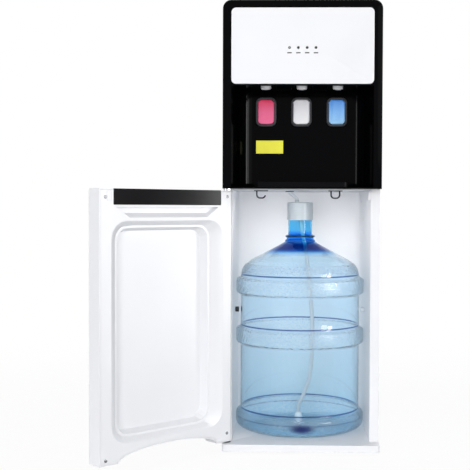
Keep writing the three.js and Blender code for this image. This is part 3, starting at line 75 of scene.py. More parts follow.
class Signal:
    """A shader socket that ordinary arithmetic works on."""

    def __init__(self, shader: "Shader", socket: NodeSocket) -> None:
        """Wraps one output socket of a shader."""
        self.shader = shader
        self.socket = socket

    def _maths(self, operation: str, first: object, second: object) -> "Signal":
        """Returns a Math node's output, for two signals or numbers."""
        return self.shader.node("ShaderNodeMath", {"operation": operation}, {0: first, 1: second})

    def __add__(self, other: object) -> "Signal":
        """Returns self + other."""
        return self._maths("ADD", self, other)

    __radd__ = __add__

    def __mul__(self, other: object) -> "Signal":
        """Returns self * other."""
        return self._maths("MULTIPLY", self, other)

    __rmul__ = __mul__

    def __sub__(self, other: object) -> "Signal":
        """Returns self - other."""
        return self._maths("SUBTRACT", self, other)

    def __rsub__(self, other: object) -> "Signal":
        """Returns other - self."""
        return self._maths("SUBTRACT", other, self)


class Shader:
    """The node tree of a new material or world, with one method that adds any node."""

    def __init__(self, name: str, world: bool = False) -> None:
        """Starts an empty node tree.

        Args:
            name: The name of the material or world.
            world: Whether it is a world.
        """
        self.owner = (bpy.data.worlds if world else bpy.data.materials).new(name)
        self.owner.use_nodes = True
        self.tree = self.owner.node_tree
        self.tree.nodes.clear()
        self.output = self.tree.nodes.new("ShaderNodeOutputWorld" if world else "ShaderNodeOutputMaterial")

    def node(self, kind: str, settings: dict | None = None, values: dict | None = None,
             out: int | str = 0) -> Signal:
        """Adds a node.

        Args:
            kind: The node's type.
            settings: Its properties, set before its sockets.
            values: Values or signals by socket name or number.
            out: The output that is returned.

        Returns:
            One output of the node.
        """
        node = self.tree.nodes.new(kind)
        for key, value in (settings or {}).items():
            if key == "stops":
                self._fill_ramp(node.color_ramp, value)
            else:
                setattr(node, key, value)
        for key, value in (values or {}).items():
            if isinstance(value, Signal):
                self.tree.links.new(value.socket, node.inputs[key])
            elif isinstance(value, tuple) and len(value) == 3 and node.inputs[key].type == "RGBA":
                node.inputs[key].default_value = (*value, 1.0)
            else:
                node.inputs[key].default_value = value
        return Signal(self, node.outputs[out])

    @staticmethod
    def _fill_ramp(ramp: ColorRamp, stops: Sequence[tuple[float, Colour]]) -> None:
        """Gives a colour ramp its stops.

        Args:
            ramp: The ramp.
            stops: Positions from 0 to 1, each with its colour.
        """
        while len(ramp.elements) < len(stops):
            ramp.elements.new(0.5)
        for element, (position, colour) in zip(ramp.elements, stops):
            element.position = position
            element.color = (*colour, 1.0)

    def graded(self, stops: Sequence[tuple[float, Colour]]) -> Signal:
        """Returns a colour that follows the height.

        Args:
            stops: Heights in metres, rising, each with its colour.

        Returns:
            The colour.
        """
        low, high = stops[0][0], stops[-1][0]
        share = self.node("ShaderNodeMapRange", {}, {
            "Value": self.height(), "From Min": low, "From Max": high})
        scaled = [((z - low) / (high - low), colour) for z, colour in stops]
        return self.node("ShaderNodeValToRGB", {"stops": scaled}, {0: share})

    def line(self, value: Signal, centre: float, half: float) -> Signal:
        """Returns 1 at a value's centre, falling to 0 at half a width on either side."""
        rise = self.ramp(value, centre - half, centre - half * 0.2)
        return rise * (1 - self.ramp(value, centre + half * 0.2, centre + half))

    def ray(self, kind: str) -> Signal:
        """Returns 1 for rays of one kind and 0 for others."""
        return self.node("ShaderNodeLightPath", out=f"Is {kind} Ray")

    def place(self) -> Signal:
        """Returns object coordinates, in metres."""
        return self.node("ShaderNodeTexCoord", out="Object")

    def stretched(self, scale: Point) -> Signal:
        """Returns object coordinates scaled along each axis."""
        return self.node("ShaderNodeMapping", {}, {"Vector": self.place(), "Scale": scale})

    def noise(self, scale: float, detail: float, at: Signal | None = None) -> Signal:
        """Returns a noise around 0.5 with so many features a metre, at the object's or given coordinates."""
        return self.node("ShaderNodeTexNoise", {}, {
            "Vector": at or self.place(), "Scale": scale, "Detail": detail, "Roughness": 0.55})

    def cells(self, scale: float) -> Signal:
        """Returns the smooth distance to cell centres, for hammered surfaces."""
        return self.node("ShaderNodeTexVoronoi", {"feature": "SMOOTH_F1"}, {
            "Vector": self.place(), "Scale": scale, "Smoothness": 0.6})

    def blend(self, amount: object, first: object, second: object) -> Signal:
        """Returns a mix of two colours, by the share of the second one."""
        return self.node("ShaderNodeMix", {"data_type": "RGBA"}, {0: amount, 6: first, 7: second}, 2)

    def ramp(self, value: Signal, low: float, high: float) -> Signal:
        """Returns 0 below low, 1 above high and a smooth rise between."""
        return self.node("ShaderNodeMapRange", {"interpolation_type": "SMOOTHSTEP"}, {
            "Value": value, "From Min": low, "From Max": high})

    def height(self) -> Signal:
        """Returns the height above the floor in metres."""
        return self.node("ShaderNodeSeparateXYZ", {}, {0: self.place()}, "Z")

    def bump(self, value: Signal, depth: float) -> Signal:
        """Returns a normal, from a height of 0 to 1 and its full depth in metres."""
        return self.node("ShaderNodeBump", {}, {"Height": value, "Distance": depth, "Strength": 1.0})

    def principled(self, values: dict) -> Signal:
        """Returns a Principled BSDF with the given sockets."""
        return self.node("ShaderNodeBsdfPrincipled", {}, values)

    def finish(self, surface: Signal, volume: Signal | None = None) -> Material | World:
        """Links the shaders to the output.

        Args:
            surface: The surface shader.
            volume: The volume shader, if there is one.

        Returns:
            The material or the world.
        """
        self.tree.links.new(surface.socket, self.output.inputs["Surface"])
        if volume is not None:
            self.tree.links.new(volume.socket, self.output.inputs["Volume"])
        return self.owner


def tinted(colour: Colour, factor: float) -> Colour:
    """Returns a colour made darker or lighter by a factor."""
    return tuple(min(1.0, channel * factor) for channel in colour)


# ---- finishes


@dataclass(frozen=True)
class Look:
    """A named finish of one colour."""

    name: str
    colour: Colour

    def sockets(self, shader: Shader) -> dict:
        """Returns the Principled BSDF's values."""
        raise NotImplementedError

    def build(self) -> Material:
        """Returns the material."""
        shader = Shader(self.name)
        return shader.finish(shader.principled(self.sockets(shader)))

    def tone(self, shader: Shader, share: object, dark: float, light: float) -> Signal:
        """Returns the colour, made darker to lighter by a share."""
        return shader.blend(share, tinted(self.colour, dark), tinted(self.colour, light))


@dataclass(frozen=True)
class Moulded(Look):
    """A moulded plastic with a broad shade variation, a fine grain and soft smudges."""

    roughness: float = 0.4
    ior: float = 1.45
    grain: float = 1400.0
    depth: float = 0.04
    mottle: float = 0.03

    def sockets(self, shader: Shader) -> dict:
        """Returns the Principled BSDF's values."""
        broad = shader.noise(7.0, 2.0)
        fine = shader.noise(self.grain, 2.0)
        smudge = shader.noise(26.0, 4.0)
        rough = fine * 0.06 + smudge * 0.05 + (self.roughness - 0.055)
        return {"Base Color": self.tone(shader, broad, 1 - self.mottle, 1 + self.mottle),
                "Roughness": rough, "Normal": shader.bump(fine, self.depth * MM), "IOR": self.ior}


@dataclass(frozen=True)
class Polished(Look):
    """A polished plastic with a faint long ripple and fine dust."""

    roughness: float = 0.08
    ior: float = 1.45
    ripple: float = 0.02

    def sockets(self, shader: Shader) -> dict:
        """Returns the Principled BSDF's values."""
        wave = shader.noise(16.0, 1.0)
        dust = shader.ramp(shader.noise(900.0, 1.0), 0.68, 0.8)
        shade = shader.noise(5.0, 2.0)
        colour = self.tone(shader, shade, 0.96, 1.04)
        rough = dust * 0.12 + wave * 0.03 + (self.roughness - 0.015)
        return {"Base Color": colour, "Roughness": rough, "Normal": shader.bump(wave, self.ripple * MM),
                "IOR": self.ior}


@dataclass(frozen=True)
class Metal(Look):
    """Drawn or coated sheet, with streaks along one axis."""

    roughness: float = 0.35
    metallic: float = 1.0
    streak: Point = (4.0, 220.0, 220.0)

    def sockets(self, shader: Shader) -> dict:
        """Returns the Principled BSDF's values."""
        lines = shader.noise(6.0, 4.0, shader.stretched(self.streak))
        patch = shader.noise(40.0, 3.0)
        colour = self.tone(shader, lines * 0.6 + patch * 0.4, 0.86, 1.1)
        rough = lines * 0.18 + (self.roughness - 0.09)
        return {"Base Color": colour, "Roughness": rough, "Metallic": self.metallic,
                "Normal": shader.bump(lines, 0.03 * MM)}


@dataclass(frozen=True)
class Rubbery(Look):
    """Rubber or silicone with a chalky bloom."""

    bloom: Colour
    roughness: float = 0.7
    translucent: float = 0.0

    def sockets(self, shader: Shader) -> dict:
        """Returns the Principled BSDF's values."""
        haze = shader.ramp(shader.noise(60.0, 5.0), 0.45, 0.75)
        fine = shader.noise(1500.0, 2.0)
        colour = shader.blend(haze * 0.35, self.colour, self.bloom)
        return {"Base Color": colour, "Roughness": fine * 0.1 + (self.roughness - 0.05),
                "Transmission Weight": self.translucent, "Normal": shader.bump(fine, 0.05 * MM)}


PADDLE_SPAN = (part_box("paddle_hot")[0][2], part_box("paddle_hot")[1][2])


@dataclass(frozen=True)
class Graded:
    """A polished plastic whose shade deepens towards the top, with faint clouds and ribs."""

    name: str
    low: Colour
    middle: Colour
    high: Colour
    span: Pair = PADDLE_SPAN
    roughness: float = 0.16

    def build(self) -> Material:
        """Returns the material."""
        shader = Shader(self.name)
        bottom, top = self.span
        base = shader.graded(((bottom, self.low), ((bottom + top) / 2, self.middle), (top, self.high)))
        cloud = shader.noise(120.0, 2.0)
        ribs = shader.noise(1.0, 1.0, shader.stretched((8.0, 8.0, 620.0)))
        fine = shader.noise(900.0, 1.0)
        colour = shader.blend(cloud * 0.12, base, self.low)
        return shader.finish(shader.principled({
            "Base Color": colour, "Roughness": fine * 0.05 + (self.roughness - 0.025),
            "Normal": shader.bump(ribs, 0.02 * MM), "IOR": 1.3}))


@dataclass(frozen=True)
class BottlePlastic:
    """Blue polycarbonate: clear, tinted more where its wall is thick, hammered on the bands, with painted
    shade, glints and a dark reflection.

    Shadow rays and bounced light go straight through it, so that what stands behind it stays lit.
    """

    name: str
    tint: Colour
    density: float
    heights: tuple[tuple[float, Colour], ...]
    # Heights of the dark blue lines painted at the grooves as painted shade.
    groove_shade_heights: tuple[float, ...]
    bands: tuple[Pair, ...]
    # Centre, stretch, reach and colour of a dark blue spot painted at the bottom: a painted dark reflection
    # of the domed bottom.
    dark_reflection: Point
    dark_reflection_scale: Point = (1.0, 0.25, 2.8)
    dark_reflection_reach: Pair = (0.006, 0.036)
    dark_reflection_colour: Colour = (0.035, 0.06, 0.30)
    # Colour and half width of the painted shade lines at the grooves.
    groove_shade_colour: Colour = (0.012, 0.10, 0.38)
    groove_shade_half: float = 2.2 * MM
    band_edge: float = 3 * MM
    # Painted shade in the hammering's pits and painted glints on its crests.
    hammer_pit_shade: Colour = (0.40, 0.66, 0.90)
    hammer_crest_glint: Colour = (0.95, 0.99, 1.0)
    hammer_scale: float = 310.0
    hammer_depth: float = 0.4 * MM
    ripple_depth: float = 0.5 * MM
    clear_colour: Colour = (0.95, 0.98, 1.0)
    roughness: float = 0.02
    ior: float = 1.38

    def build(self) -> Material:
        """Returns the material."""
        shader = Shader(self.name)
        height = shader.height()
        banded: Signal | float = 0.0
        for low, high in self.bands:
            falling = 1 - shader.ramp(height, high - self.band_edge, high)
            banded = banded + shader.ramp(height, low, low + self.band_edge) * falling
        hammer = shader.cells(self.hammer_scale)
        fleck = shader.ramp(hammer, 0.2, 0.62)
        ripple = shader.noise(26.0, 2.0)
        normal = shader.node("ShaderNodeBump", {}, {
            "Height": ripple, "Distance": self.ripple_depth, "Strength": 0.5,
            "Normal": shader.bump(hammer * banded, self.hammer_depth)})
        # Painted shade: dark blue lines at the grooves' heights, standing in for the darkening that
        # refraction gives there.
        groove_shade: Signal | float = 0.0
        for centre in self.groove_shade_heights:
            groove_shade = groove_shade + shader.line(height, centre, self.groove_shade_half)
        colour = shader.blend(groove_shade * 0.95, shader.graded(self.heights), self.groove_shade_colour)
        # Painted shade in the pits and painted glints on the crests of the hammered bands.
        colour = shader.blend(banded * (1 - fleck) * 0.4, colour, self.hammer_pit_shade)
        colour = shader.blend(banded * fleck * 0.8, colour, self.hammer_crest_glint)
        # Painted reflection: a dark blue spot at the bottom's centre, for the dark things seen in the domed
        # bottom.
        away = shader.node("ShaderNodeVectorMath", {"operation": "DISTANCE"}, {
            0: shader.stretched(self.dark_reflection_scale), 1: self.dark_reflection}, "Value")
        colour = shader.blend(1 - shader.ramp(away, *self.dark_reflection_reach), colour, self.dark_reflection_colour)
        rough = banded * 0.06 + ripple * 0.02 + self.roughness
        body = shader.principled({
            "Base Color": colour, "Roughness": rough, "Normal": normal,
            "IOR": self.ior, "Transmission Weight": 1.0})
        clear = shader.node("ShaderNodeBsdfTransparent", {}, {"Color": self.clear_colour})
        straight = shader.ray("Shadow") + shader.ray("Diffuse")
        surface = shader.node("ShaderNodeMixShader", {}, {0: straight, 1: body, 2: clear})
        volume = shader.node("ShaderNodeVolumeAbsorption", {}, {"Color": self.tint, "Density": self.density})
        return shader.finish(surface, volume)


@dataclass(frozen=True)
class Lens(Look):
    """An indicator's flecked lens, which may glow."""

    glow: float = 0.0

    def sockets(self, shader: Shader) -> dict:
        """Returns the Principled BSDF's values."""
        fleck = shader.noise(700.0, 2.0)
        colour = self.tone(shader, fleck, 0.7, 1.2)
        return {"Base Color": colour, "Roughness": fleck * 0.1 + 0.12, "Emission Color": colour,
                "Emission Strength": self.glow}


@dataclass(frozen=True)
class Paper(Look):
    """A coated paper sticker with a fibre grain."""

    def sockets(self, shader: Shader) -> dict:
        """Returns the Principled BSDF's values."""
        fibre = shader.noise(2200.0, 3.0)
        shade = shader.noise(60.0, 3.0)
        colour = self.tone(shader, shade, 0.92, 1.05)
        return {"Base Color": colour, "Roughness": fibre * 0.15 + 0.3,
                "Normal": shader.bump(fibre, 0.02 * MM)}


BOTTLE_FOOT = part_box("bottle")[0][2]


class Finish(Enum):
    """Every finish on the cooler."""

    WHITE_MOULDING = Moulded("white_moulding", (0.86, 0.865, 0.89), 0.38, grain=900.0)
    LINER_WHITE = Moulded("liner_white", (0.94, 0.93, 0.945), 0.42, grain=900.0, mottle=0.012)
    WHITE_SHEET = Moulded("white_sheet", (0.87, 0.875, 0.90), 0.3, grain=450.0, depth=0.06)
    GLOSS_WHITE = Polished("gloss_white", (0.90, 0.905, 0.93), 0.09)
    PIANO_BLACK = Polished("piano_black", (0.0010, 0.0011, 0.0016), 0.1, ior=1.12)
    TRIM_BLACK = Polished("trim_black", (0.0018, 0.0018, 0.003), 0.17, ior=1.14)
    TRAY_BLACK = Moulded("tray_black", (0.0028, 0.003, 0.004), 0.4, ior=1.12)
    MATT_BLACK = Moulded("matt_black", (0.012, 0.012, 0.015), 0.5, ior=1.25)
    BEZEL_BLACK = Moulded("bezel_black", (0.03, 0.031, 0.036), 0.35, ior=1.4)
    CAP_WHITE = Rubbery("cap_white", (0.56, 0.62, 0.66), (0.68, 0.72, 0.77), 0.3, 0.2)
    RUBBER = Rubbery("rubber", (0.025, 0.025, 0.028), (0.10, 0.10, 0.10), 0.75)
    BLACK_STEEL = Metal("black_enamel", (0.03, 0.03, 0.034), 0.4, 0.2)
    GALVANISED = Metal("galvanised", (0.60, 0.62, 0.65), 0.42)
    STAINLESS = Metal("stainless", (0.66, 0.67, 0.70), 0.25)
    DARK_SCREW = Metal("dark_zinc_screw", (0.16, 0.165, 0.18), 0.4, 0.7)
    SILICONE = Rubbery("pale_silicone", (0.82, 0.86, 0.90), (0.90, 0.92, 0.95), 0.35, 0.25)
    BOTTLE = BottlePlastic("bottle_plastic", (0.30, 0.72, 0.95), 14.0, (
        (0.010, (0.34, 0.73, 0.98)), (0.055, (0.70, 0.89, 1.0)), (0.075, (0.81, 0.945, 1.0)),
        (0.230, (0.85, 0.945, 1.0)), (0.384, (0.85, 0.95, 1.0)), (0.3905, (0.28, 0.62, 0.95)),
        (0.394, (0.012, 0.11, 0.44)), (0.4045, (0.008, 0.09, 0.37)), (0.412, (0.022, 0.38, 0.85)),
        (0.428, (0.07, 0.48, 1.0)), (0.436, (0.29, 0.75, 1.0)), (0.490, (0.38, 0.79, 1.0))),
        # Heights of the painted shade lines at the grooves, then the hammered bands.
        (0.0460, 0.0630, 0.2375, 0.3435), (
        (0.018, 0.060), (0.196, 0.235), (0.300, 0.3395), (0.3465, 0.3655)),
        # Centre of the painted dark reflection at the bottom.
        (0.003, -0.035, 2.8 * (BOTTLE_FOOT + 0.0225)))
    LENS_LIT = Lens("lens_lit", (0.42, 0.50, 0.45), 0.05)
    LENS_DARK = Lens("lens_dark", (0.035, 0.042, 0.04))
    BOARD = Moulded("board_mask", (0.02, 0.16, 0.06), 0.35)
    TANK_FOAM = Moulded("tank_foam", (0.70, 0.70, 0.72), 0.85, grain=300.0, depth=0.4, mottle=0.08)
    PADDLE_RED = Graded("paddle_red", (0.98, 0.18, 0.37), (0.88, 0.15, 0.31), (0.76, 0.045, 0.12))
    PADDLE_WHITE = Graded("paddle_white", (0.86, 0.86, 0.88), (0.76, 0.76, 0.79), (0.62, 0.61, 0.65))
    PADDLE_BLUE = Graded("paddle_blue", (0.37, 0.68, 1.0), (0.23, 0.52, 0.97), (0.09, 0.31, 0.86))
    ROCKER_RED = Polished("rocker_red", (0.55, 0.02, 0.03), 0.2)
    ROCKER_GREEN = Polished("rocker_green", (0.02, 0.32, 0.08), 0.2)
    YELLOW_LABEL = Paper("yellow_label", (0.99, 0.92, 0.03))
    GREY_MARK = Paper("grey_mark", (0.07, 0.07, 0.08))


@cache
def material(finish: Finish) -> Material:
    """Returns a finish's material, which is built once."""
    return finish.value.build()


# ---- mesh helpers

BODY_OF = {node: body for body, nodes in frame["record"]["behaviour"]["bodies"].items() for node in nodes}


def link(name: str, mesh: Mesh, finish: Finish) -> Object:
    """Puts a mesh in the scene with one finish.

    Args:
        name: The piece's name.
        mesh: Its mesh, in the row frame.
        finish: Its finish.

    Returns:
        The new object.
    """
    piece = bpy.data.objects.new(name, mesh)
    bpy.context.scene.collection.objects.link(piece)
    mesh.materials.clear()
    mesh.materials.append(material(finish))
    return piece


def bake(piece: Object) -> None:
    """Makes a piece's modifiers part of its mesh and removes them.

    Args:
        piece: The piece.
    """
    depsgraph = bpy.context.evaluated_depsgraph_get()
    mesh = bpy.data.meshes.new_from_object(piece.evaluated_get(depsgraph))
    old = piece.data
    piece.modifiers.clear()
    piece.data = mesh
    bpy.data.meshes.remove(old)


def smooth(mesh: Mesh, angle: float = SHARP) -> None:
    """Shades a mesh smooth, apart from edges sharper than an angle in degrees."""
    mesh.shade_smooth()
    mesh.set_sharp_from_angle(angle=math.radians(angle))


def solid(name: str, build: Builder, finish: Finish, angle: float = SHARP) -> Object:
    """Makes a piece with a builder that fills a bmesh.

    Args:
        name: The piece's name.
        build: Fills the bmesh, in the row frame.
        finish: Its finish.
        angle: Edges sharper than this stay sharp, in degrees.

    Returns:
        The piece.
    """
    work = bmesh.new()
    build(work)
    bmesh.ops.recalc_face_normals(work, faces=work.faces)
    mesh = bpy.data.meshes.new(name)
    work.to_mesh(mesh)
    work.free()
    smooth(mesh, angle)
    return link(name, mesh, finish)


def ring(work: BMesh, radius: float, height: float, sides: int, move: Matrix) -> list[BMVert]:
    """Returns new points on a moved circle, or its one middle point where the radius is 0."""
    return [work.verts.new(move @ Vector((
        radius * math.cos(2 * math.pi * i / sides), radius * math.sin(2 * math.pi * i / sides), height)))
        for i in range(sides if radius > 1e-7 else 1)]


def joined(work: BMesh, rings: Sequence[Sequence[BMVert]]) -> None:
    """Fills the bands between rings of points, any of which may be a single point.

    Args:
        work: The bmesh that holds them.
        rings: The rings in order.
    """
    for low, high in zip(rings, rings[1:]):
        sides = max(len(low), len(high))
        for i in range(sides):
            j = (i + 1) % sides
            corners = [low[i % len(low)], low[j % len(low)], high[j % len(high)], high[i % len(high)]]
            corners = list(dict.fromkeys(corners))
            if len(corners) > 2:
                work.faces.new(corners)


def plate(work: BMesh, low: Point, high: Point) -> None:
    """Adds a box between two corners."""
    middle, size = (Vector(low) + Vector(high)) / 2, Vector(high) - Vector(low)
    bmesh.ops.create_cube(work, size=1.0, matrix=Matrix.Translation(middle) @ Matrix.Diagonal((*size, 1)))


def lathe(work: BMesh, profile: Sequence[Pair], centre: Point, sides: int,
          axis: Matrix | None = None) -> None:
    """Turns a profile of (radius, height) about a vertical line.

    Args:
        work: The bmesh that receives it.
        profile: Points from end to end; the ends may lie on the axis.
        centre: Where height 0 is, in metres.
        sides: Steps round the turn.
        axis: A rotation for the whole turned shape.
    """
    move = Matrix.Translation(centre) @ (axis or Matrix.Identity(3)).to_4x4()
    joined(work, [ring(work, radius, height, sides, move) for radius, height in profile])


def rounded_profile(points: Sequence[Pair], radius: float, steps: int = 4) -> list[Pair]:
    """Rounds the corners of an open profile.

    Args:
        points: The profile's corners.
        radius: Fillet size, cut back where a side is short.
        steps: Points on each fillet.

    Returns:
        The rounded profile.
    """
    out = [points[0]]
    for before, corner, after in zip(points, points[1:], points[2:]):
        a, b, c = Vector(before), Vector(corner), Vector(after)
        cut = min(radius, (a - b).length * 0.45, (c - b).length * 0.45)
        start = b + (a - b).normalized() * cut
        end = b + (c - b).normalized() * cut
        for i in range(steps + 1):
            t = i / steps
            spot = start * (1 - t) ** 2 + b * 2 * t * (1 - t) + end * t ** 2
            out.append((spot.x, spot.y))
    out.append(points[-1])
    return out


def swept(work: BMesh, route: Sequence[Vector], radius: float, sides: int) -> None:
    """Makes a round tube with closed ends along a route.

    Args:
        work: The bmesh that receives it.
        route: Points along the middle.
        radius: The tube's radius.
        sides: Sides of its section.
    """
    normal = Vector((0, 1, 0))
    rings = []
    for i, spot in enumerate(route):
        ahead = (route[min(i + 1, len(route) - 1)] - route[max(i - 1, 0)]).normalized()
        normal = (normal - ahead * normal.dot(ahead)).normalized()
        other = ahead.cross(normal)
        rings.append([work.verts.new(spot + (normal * math.cos(a) + other * math.sin(a)) * radius)
                      for a in (2 * math.pi * k / sides for k in range(sides))])
    joined(work, rings)
    work.faces.new(rings[0])
    work.faces.new(rings[-1])


def smooth_route(points: Sequence[Point], steps: int) -> list[Vector]:
    """Lays a centripetal Catmull-Rom curve through points.

    Args:
        points: The points that it passes.
        steps: Its points on each span.

    Returns:
        The curve's points.
    """
    def between(a: Vector, b: Vector, start: float, end: float, t: float) -> Vector:
        """Returns where t is on the line that leaves a at start and reaches b at end."""
        return a * ((end - t) / (end - start)) + b * ((t - start) / (end - start))

    knots = [Vector(p) for p in points]
    knots = [knots[0] * 2 - knots[1], *knots, knots[-1] * 2 - knots[-2]]
    out: list[Vector] = []
    for span in zip(knots, knots[1:], knots[2:], knots[3:]):
        times = [0.0]
        for a, b in zip(span, span[1:]):
            times.append(times[-1] + (b - a).length ** 0.5)
        for i in range(steps):
            t = times[1] + (times[2] - times[1]) * i / steps
            once = [between(span[k], span[k + 1], times[k], times[k + 1], t) for k in range(3)]
            twice = [between(once[k], once[k + 1], times[k], times[k + 2], t) for k in range(2)]
            out.append(between(twice[0], twice[1], times[1], times[2], t))
    out.append(knots[-2])
    return out


def refined(node: str, finish: Finish, edge: float = 0.0, segments: int = 2, angle: float = 32.0) -> Object:
    """Makes a smooth-shaded copy of a CAD node with broken edges, which stands for the node.

    Args:
        node: The CAD node.
        finish: Its finish.
        edge: Width of the rounding on its sharp edges, in millimetres.
        segments: Steps of that rounding.
        angle: Edges sharper than this are rounded, in degrees.

    Returns:
        The copy.
    """
    work = bmesh.new()
    work.from_mesh(frame["nodes"][node].data)
    bmesh.ops.remove_doubles(work, verts=work.verts, dist=WELD)
    bmesh.ops.dissolve_limit(work, angle_limit=math.radians(FLAT), verts=work.verts, edges=work.edges)
    mesh = bpy.data.meshes.new(f"{node}_skin")
    work.to_mesh(mesh)
    work.free()
    smooth(mesh, angle)
    piece = link(f"{node}_skin", mesh, finish)
    if edge > 0:
        bevel = piece.modifiers.new("edge", "BEVEL")
        bevel.width = edge * MM
        bevel.segments = segments
        bevel.limit_method = "ANGLE"
        bevel.angle_limit = math.radians(angle)
        bevel.harden_normals = True
        bake(piece)
    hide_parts(node)
    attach(piece, BODY_OF[node])
    return piece


def dress(rows: dict[str, tuple]) -> None:
    """Makes the skins of several CAD nodes, from what refined takes after each name."""
    for node, looks in rows.items():
        refined(node, *looks)


class Repeat:
    """A Geometry Nodes tree that sets copies of one shape on points."""

    def __init__(self, name: str) -> None:
        """Starts a tree with a geometry input, named inputs and a geometry output."""
        self.tree = bpy.data.node_groups.new(name, "GeometryNodeTree")
        self.sockets = {label: self.tree.interface.new_socket(
            label, in_out="INPUT", socket_type=f"NodeSocket{kind}").identifier for label, kind in (
                ("Points", "Geometry"), ("Shape", "Object"), ("Turn", "Rotation"), ("Finish", "Material"))}
        self.tree.interface.new_socket("Copies", in_out="OUTPUT", socket_type="NodeSocketGeometry")
        entry, info, put, real, paint, leave = (self.tree.nodes.new(kind) for kind in (
            "NodeGroupInput", "GeometryNodeObjectInfo", "GeometryNodeInstanceOnPoints",
            "GeometryNodeRealizeInstances", "GeometryNodeSetMaterial", "NodeGroupOutput"))
        for source, out, target, into in (
                (entry, "Points", put, "Points"), (entry, "Shape", info, "Object"),
                (info, "Geometry", put, "Instance"), (entry, "Turn", put, "Rotation"),
                (put, "Instances", real, "Geometry"), (real, "Geometry", paint, "Geometry"),
                (entry, "Finish", paint, "Material"), (paint, "Geometry", leave, "Copies")):
            self.tree.links.new(source.outputs[out], target.inputs[into])

    def scatter(self, build: Builder, places: Sequence[Point], finish: Finish,
                turn: Point = (0.0, 0.0, 0.0), body: str = "cabinet") -> None:
        """Sets copies of a shape on places, as one piece with the tree's name.

        Args:
            build: Fills the bmesh of the shape, about the origin.
            places: Where the copies go, in metres.
            finish: Their finish.
            turn: Their rotation in radians.
            body: The CAD body that they ride on.
        """
        name = self.tree.name
        shape = solid(f"{name}_shape", build, Finish.STAINLESS)
        mesh = bpy.data.meshes.new(name)
        mesh.from_pydata(places, [], [])
        piece = link(name, mesh, finish)
        modifier = piece.modifiers.new("repeat", "NODES")
        modifier.node_group = self.tree
        for label, value in (("Shape", shape), ("Turn", turn), ("Finish", material(finish))):
            modifier[self.sockets[label]] = value
        piece.update_tag()
        bake(piece)
        smooth(piece.data)
        bpy.data.objects.remove(shape, do_unlink=True)
        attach(piece, body)
        LOG.info("%s: %d faces", name, len(piece.data.polygons))


def screw_head(radius: float, height: float) -> Builder:
    """Returns a builder of a domed screw head with a cross recess, facing +Z.

    Args:
        radius: The head's radius in metres.
        height: How far it stands up.

    Returns:
        The builder.
    """
    def build(work: BMesh) -> None:
        """Fills the bmesh."""
        steps = 24
        rows = [(radius, 0.0), (radius, height * 0.35), (radius * 0.82, height * 0.8), (radius * 0.5, height)]
        rings = [ring(work, r, z, steps, Matrix.Identity(4)) for r, z in rows]
        cross = []
        for i in range(steps):
            angle = 2 * math.pi * i / steps
            arm = radius * (0.44 if i % 6 in (0, 1, 5) else 0.2)
            cross.append(work.verts.new((arm * math.cos(angle), arm * math.sin(angle), height)))
        pit = [work.verts.new((v.co.x * 0.8, v.co.y * 0.8, height * 0.25)) for v in cross]
        joined(work, [*rings, cross, pit])
        work.faces.new(pit)
        work.faces.new(list(reversed(rings[0])))

    return build


@dataclass
class Cabinet:
    """Base, sheet panels, liner, deck and the moulded details of the bottle bay."""

    liner_wall: float = 2 * MM
    stud_radius: float = 2.6 * MM
    stud_height: float = 1.5 * MM
    stud_round: float = 0.6 * MM
    pad_height: float = 1.2 * MM
    pad_round: float = 0.5 * MM
    screw_radius: float = 3.4 * MM
    screw_height: float = 1.6 * MM
    screw_margin: float = 8 * MM
    studs: tuple[Pair, ...] = ((0.095, 0.4956), (0.122, 0.480), (0.090, 0.4406), (0.100, 0.4067))
    raised: tuple[tuple[str, float, float, float, float], ...] = (
        ("liner_pad", 0.060, 0.120, 0.4524, 0.4603), ("liner_rib", 0.020, 0.112, 0.4299, 0.4330))

    def build(self) -> None:
        """Dresses the cabinet's nodes and adds its small parts."""
        refined("base_plate", Finish.WHITE_MOULDING, 0.8)
        for side, rubber in (("left", Finish.RUBBER), ("right", Finish.SILICONE)):
            dress({
                f"side_panel_{side}": (Finish.WHITE_SHEET, 0.5), f"bottle_bumper_{side}": (rubber, 0.6),
                f"foot_front_{side}": (Finish.RUBBER,), f"foot_rear_{side}": (Finish.RUBBER,)})
        dress({
            "foot_centre": (Finish.RUBBER,), "compartment_liner": (Finish.LINER_WHITE,),
            "mid_deck": (Finish.GALVANISED,), "top_cover": (Finish.MATT_BLACK, 0.6, 2, 40.0),
            "hose_grommet": (Finish.RUBBER,), "probe_hook_left": (Finish.MATT_BLACK, 0.5),
            "probe_hook_right": (Finish.MATT_BLACK, 0.5), "hinge_pin_lower": (Finish.STAINLESS,),
            "hinge_pin_upper": (Finish.STAINLESS,), "hinge_washer": (Finish.RUBBER, 0.4),
            "door_catch": (Finish.WHITE_MOULDING, 0.8)})
        self.liner_details()
        self.panel_screws()

    def liner_details(self) -> None:
        """Adds the moulded studs, the pad and the rib on the right-hand wall of the bay."""
        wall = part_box("compartment_liner")[1][0] - self.liner_wall
        dome = rounded_profile([(0, self.stud_height), (self.stud_radius, self.stud_height),
                                (self.stud_radius, 0), (0, 0)], self.stud_round)
        places = [(wall, y, z) for y, z in self.studs]
        Repeat("liner_studs").scatter(
            lambda work: lathe(work, dome, (0, 0, 0), 24), places, Finish.LINER_WHITE, (0, -math.pi / 2, 0))
        for name, y0, y1, z0, z1 in self.raised:
            def build(work: BMesh) -> None:
                """Fills the bmesh with a pad whose edges are broken."""
                plate(work, (wall - self.pad_height, y0, z0), (wall, y1, z1))
                bmesh.ops.bevel(work, geom=work.edges[:], offset=self.pad_round, segments=2, affect="EDGES")

            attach(solid(name, build, Finish.LINER_WHITE), "cabinet")

    def panel_screws(self) -> None:
        """Adds the screws along the back sheet."""
        low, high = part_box("rear_panel")
        head = screw_head(self.screw_radius, self.screw_height)
        xs = (low[0] + self.screw_margin, 0.0, high[0] - self.screw_margin)
        zs = (low[2] + self.screw_margin, (low[2] + high[2]) / 2, high[2] - self.screw_margin)
        places = [(x, high[1], z) for x in xs for z in zs if (x, z) != (0.0, zs[1])]
        Repeat("rear_panel_screws").scatter(head, places, Finish.STAINLESS, (-math.pi / 2, 0, 0))


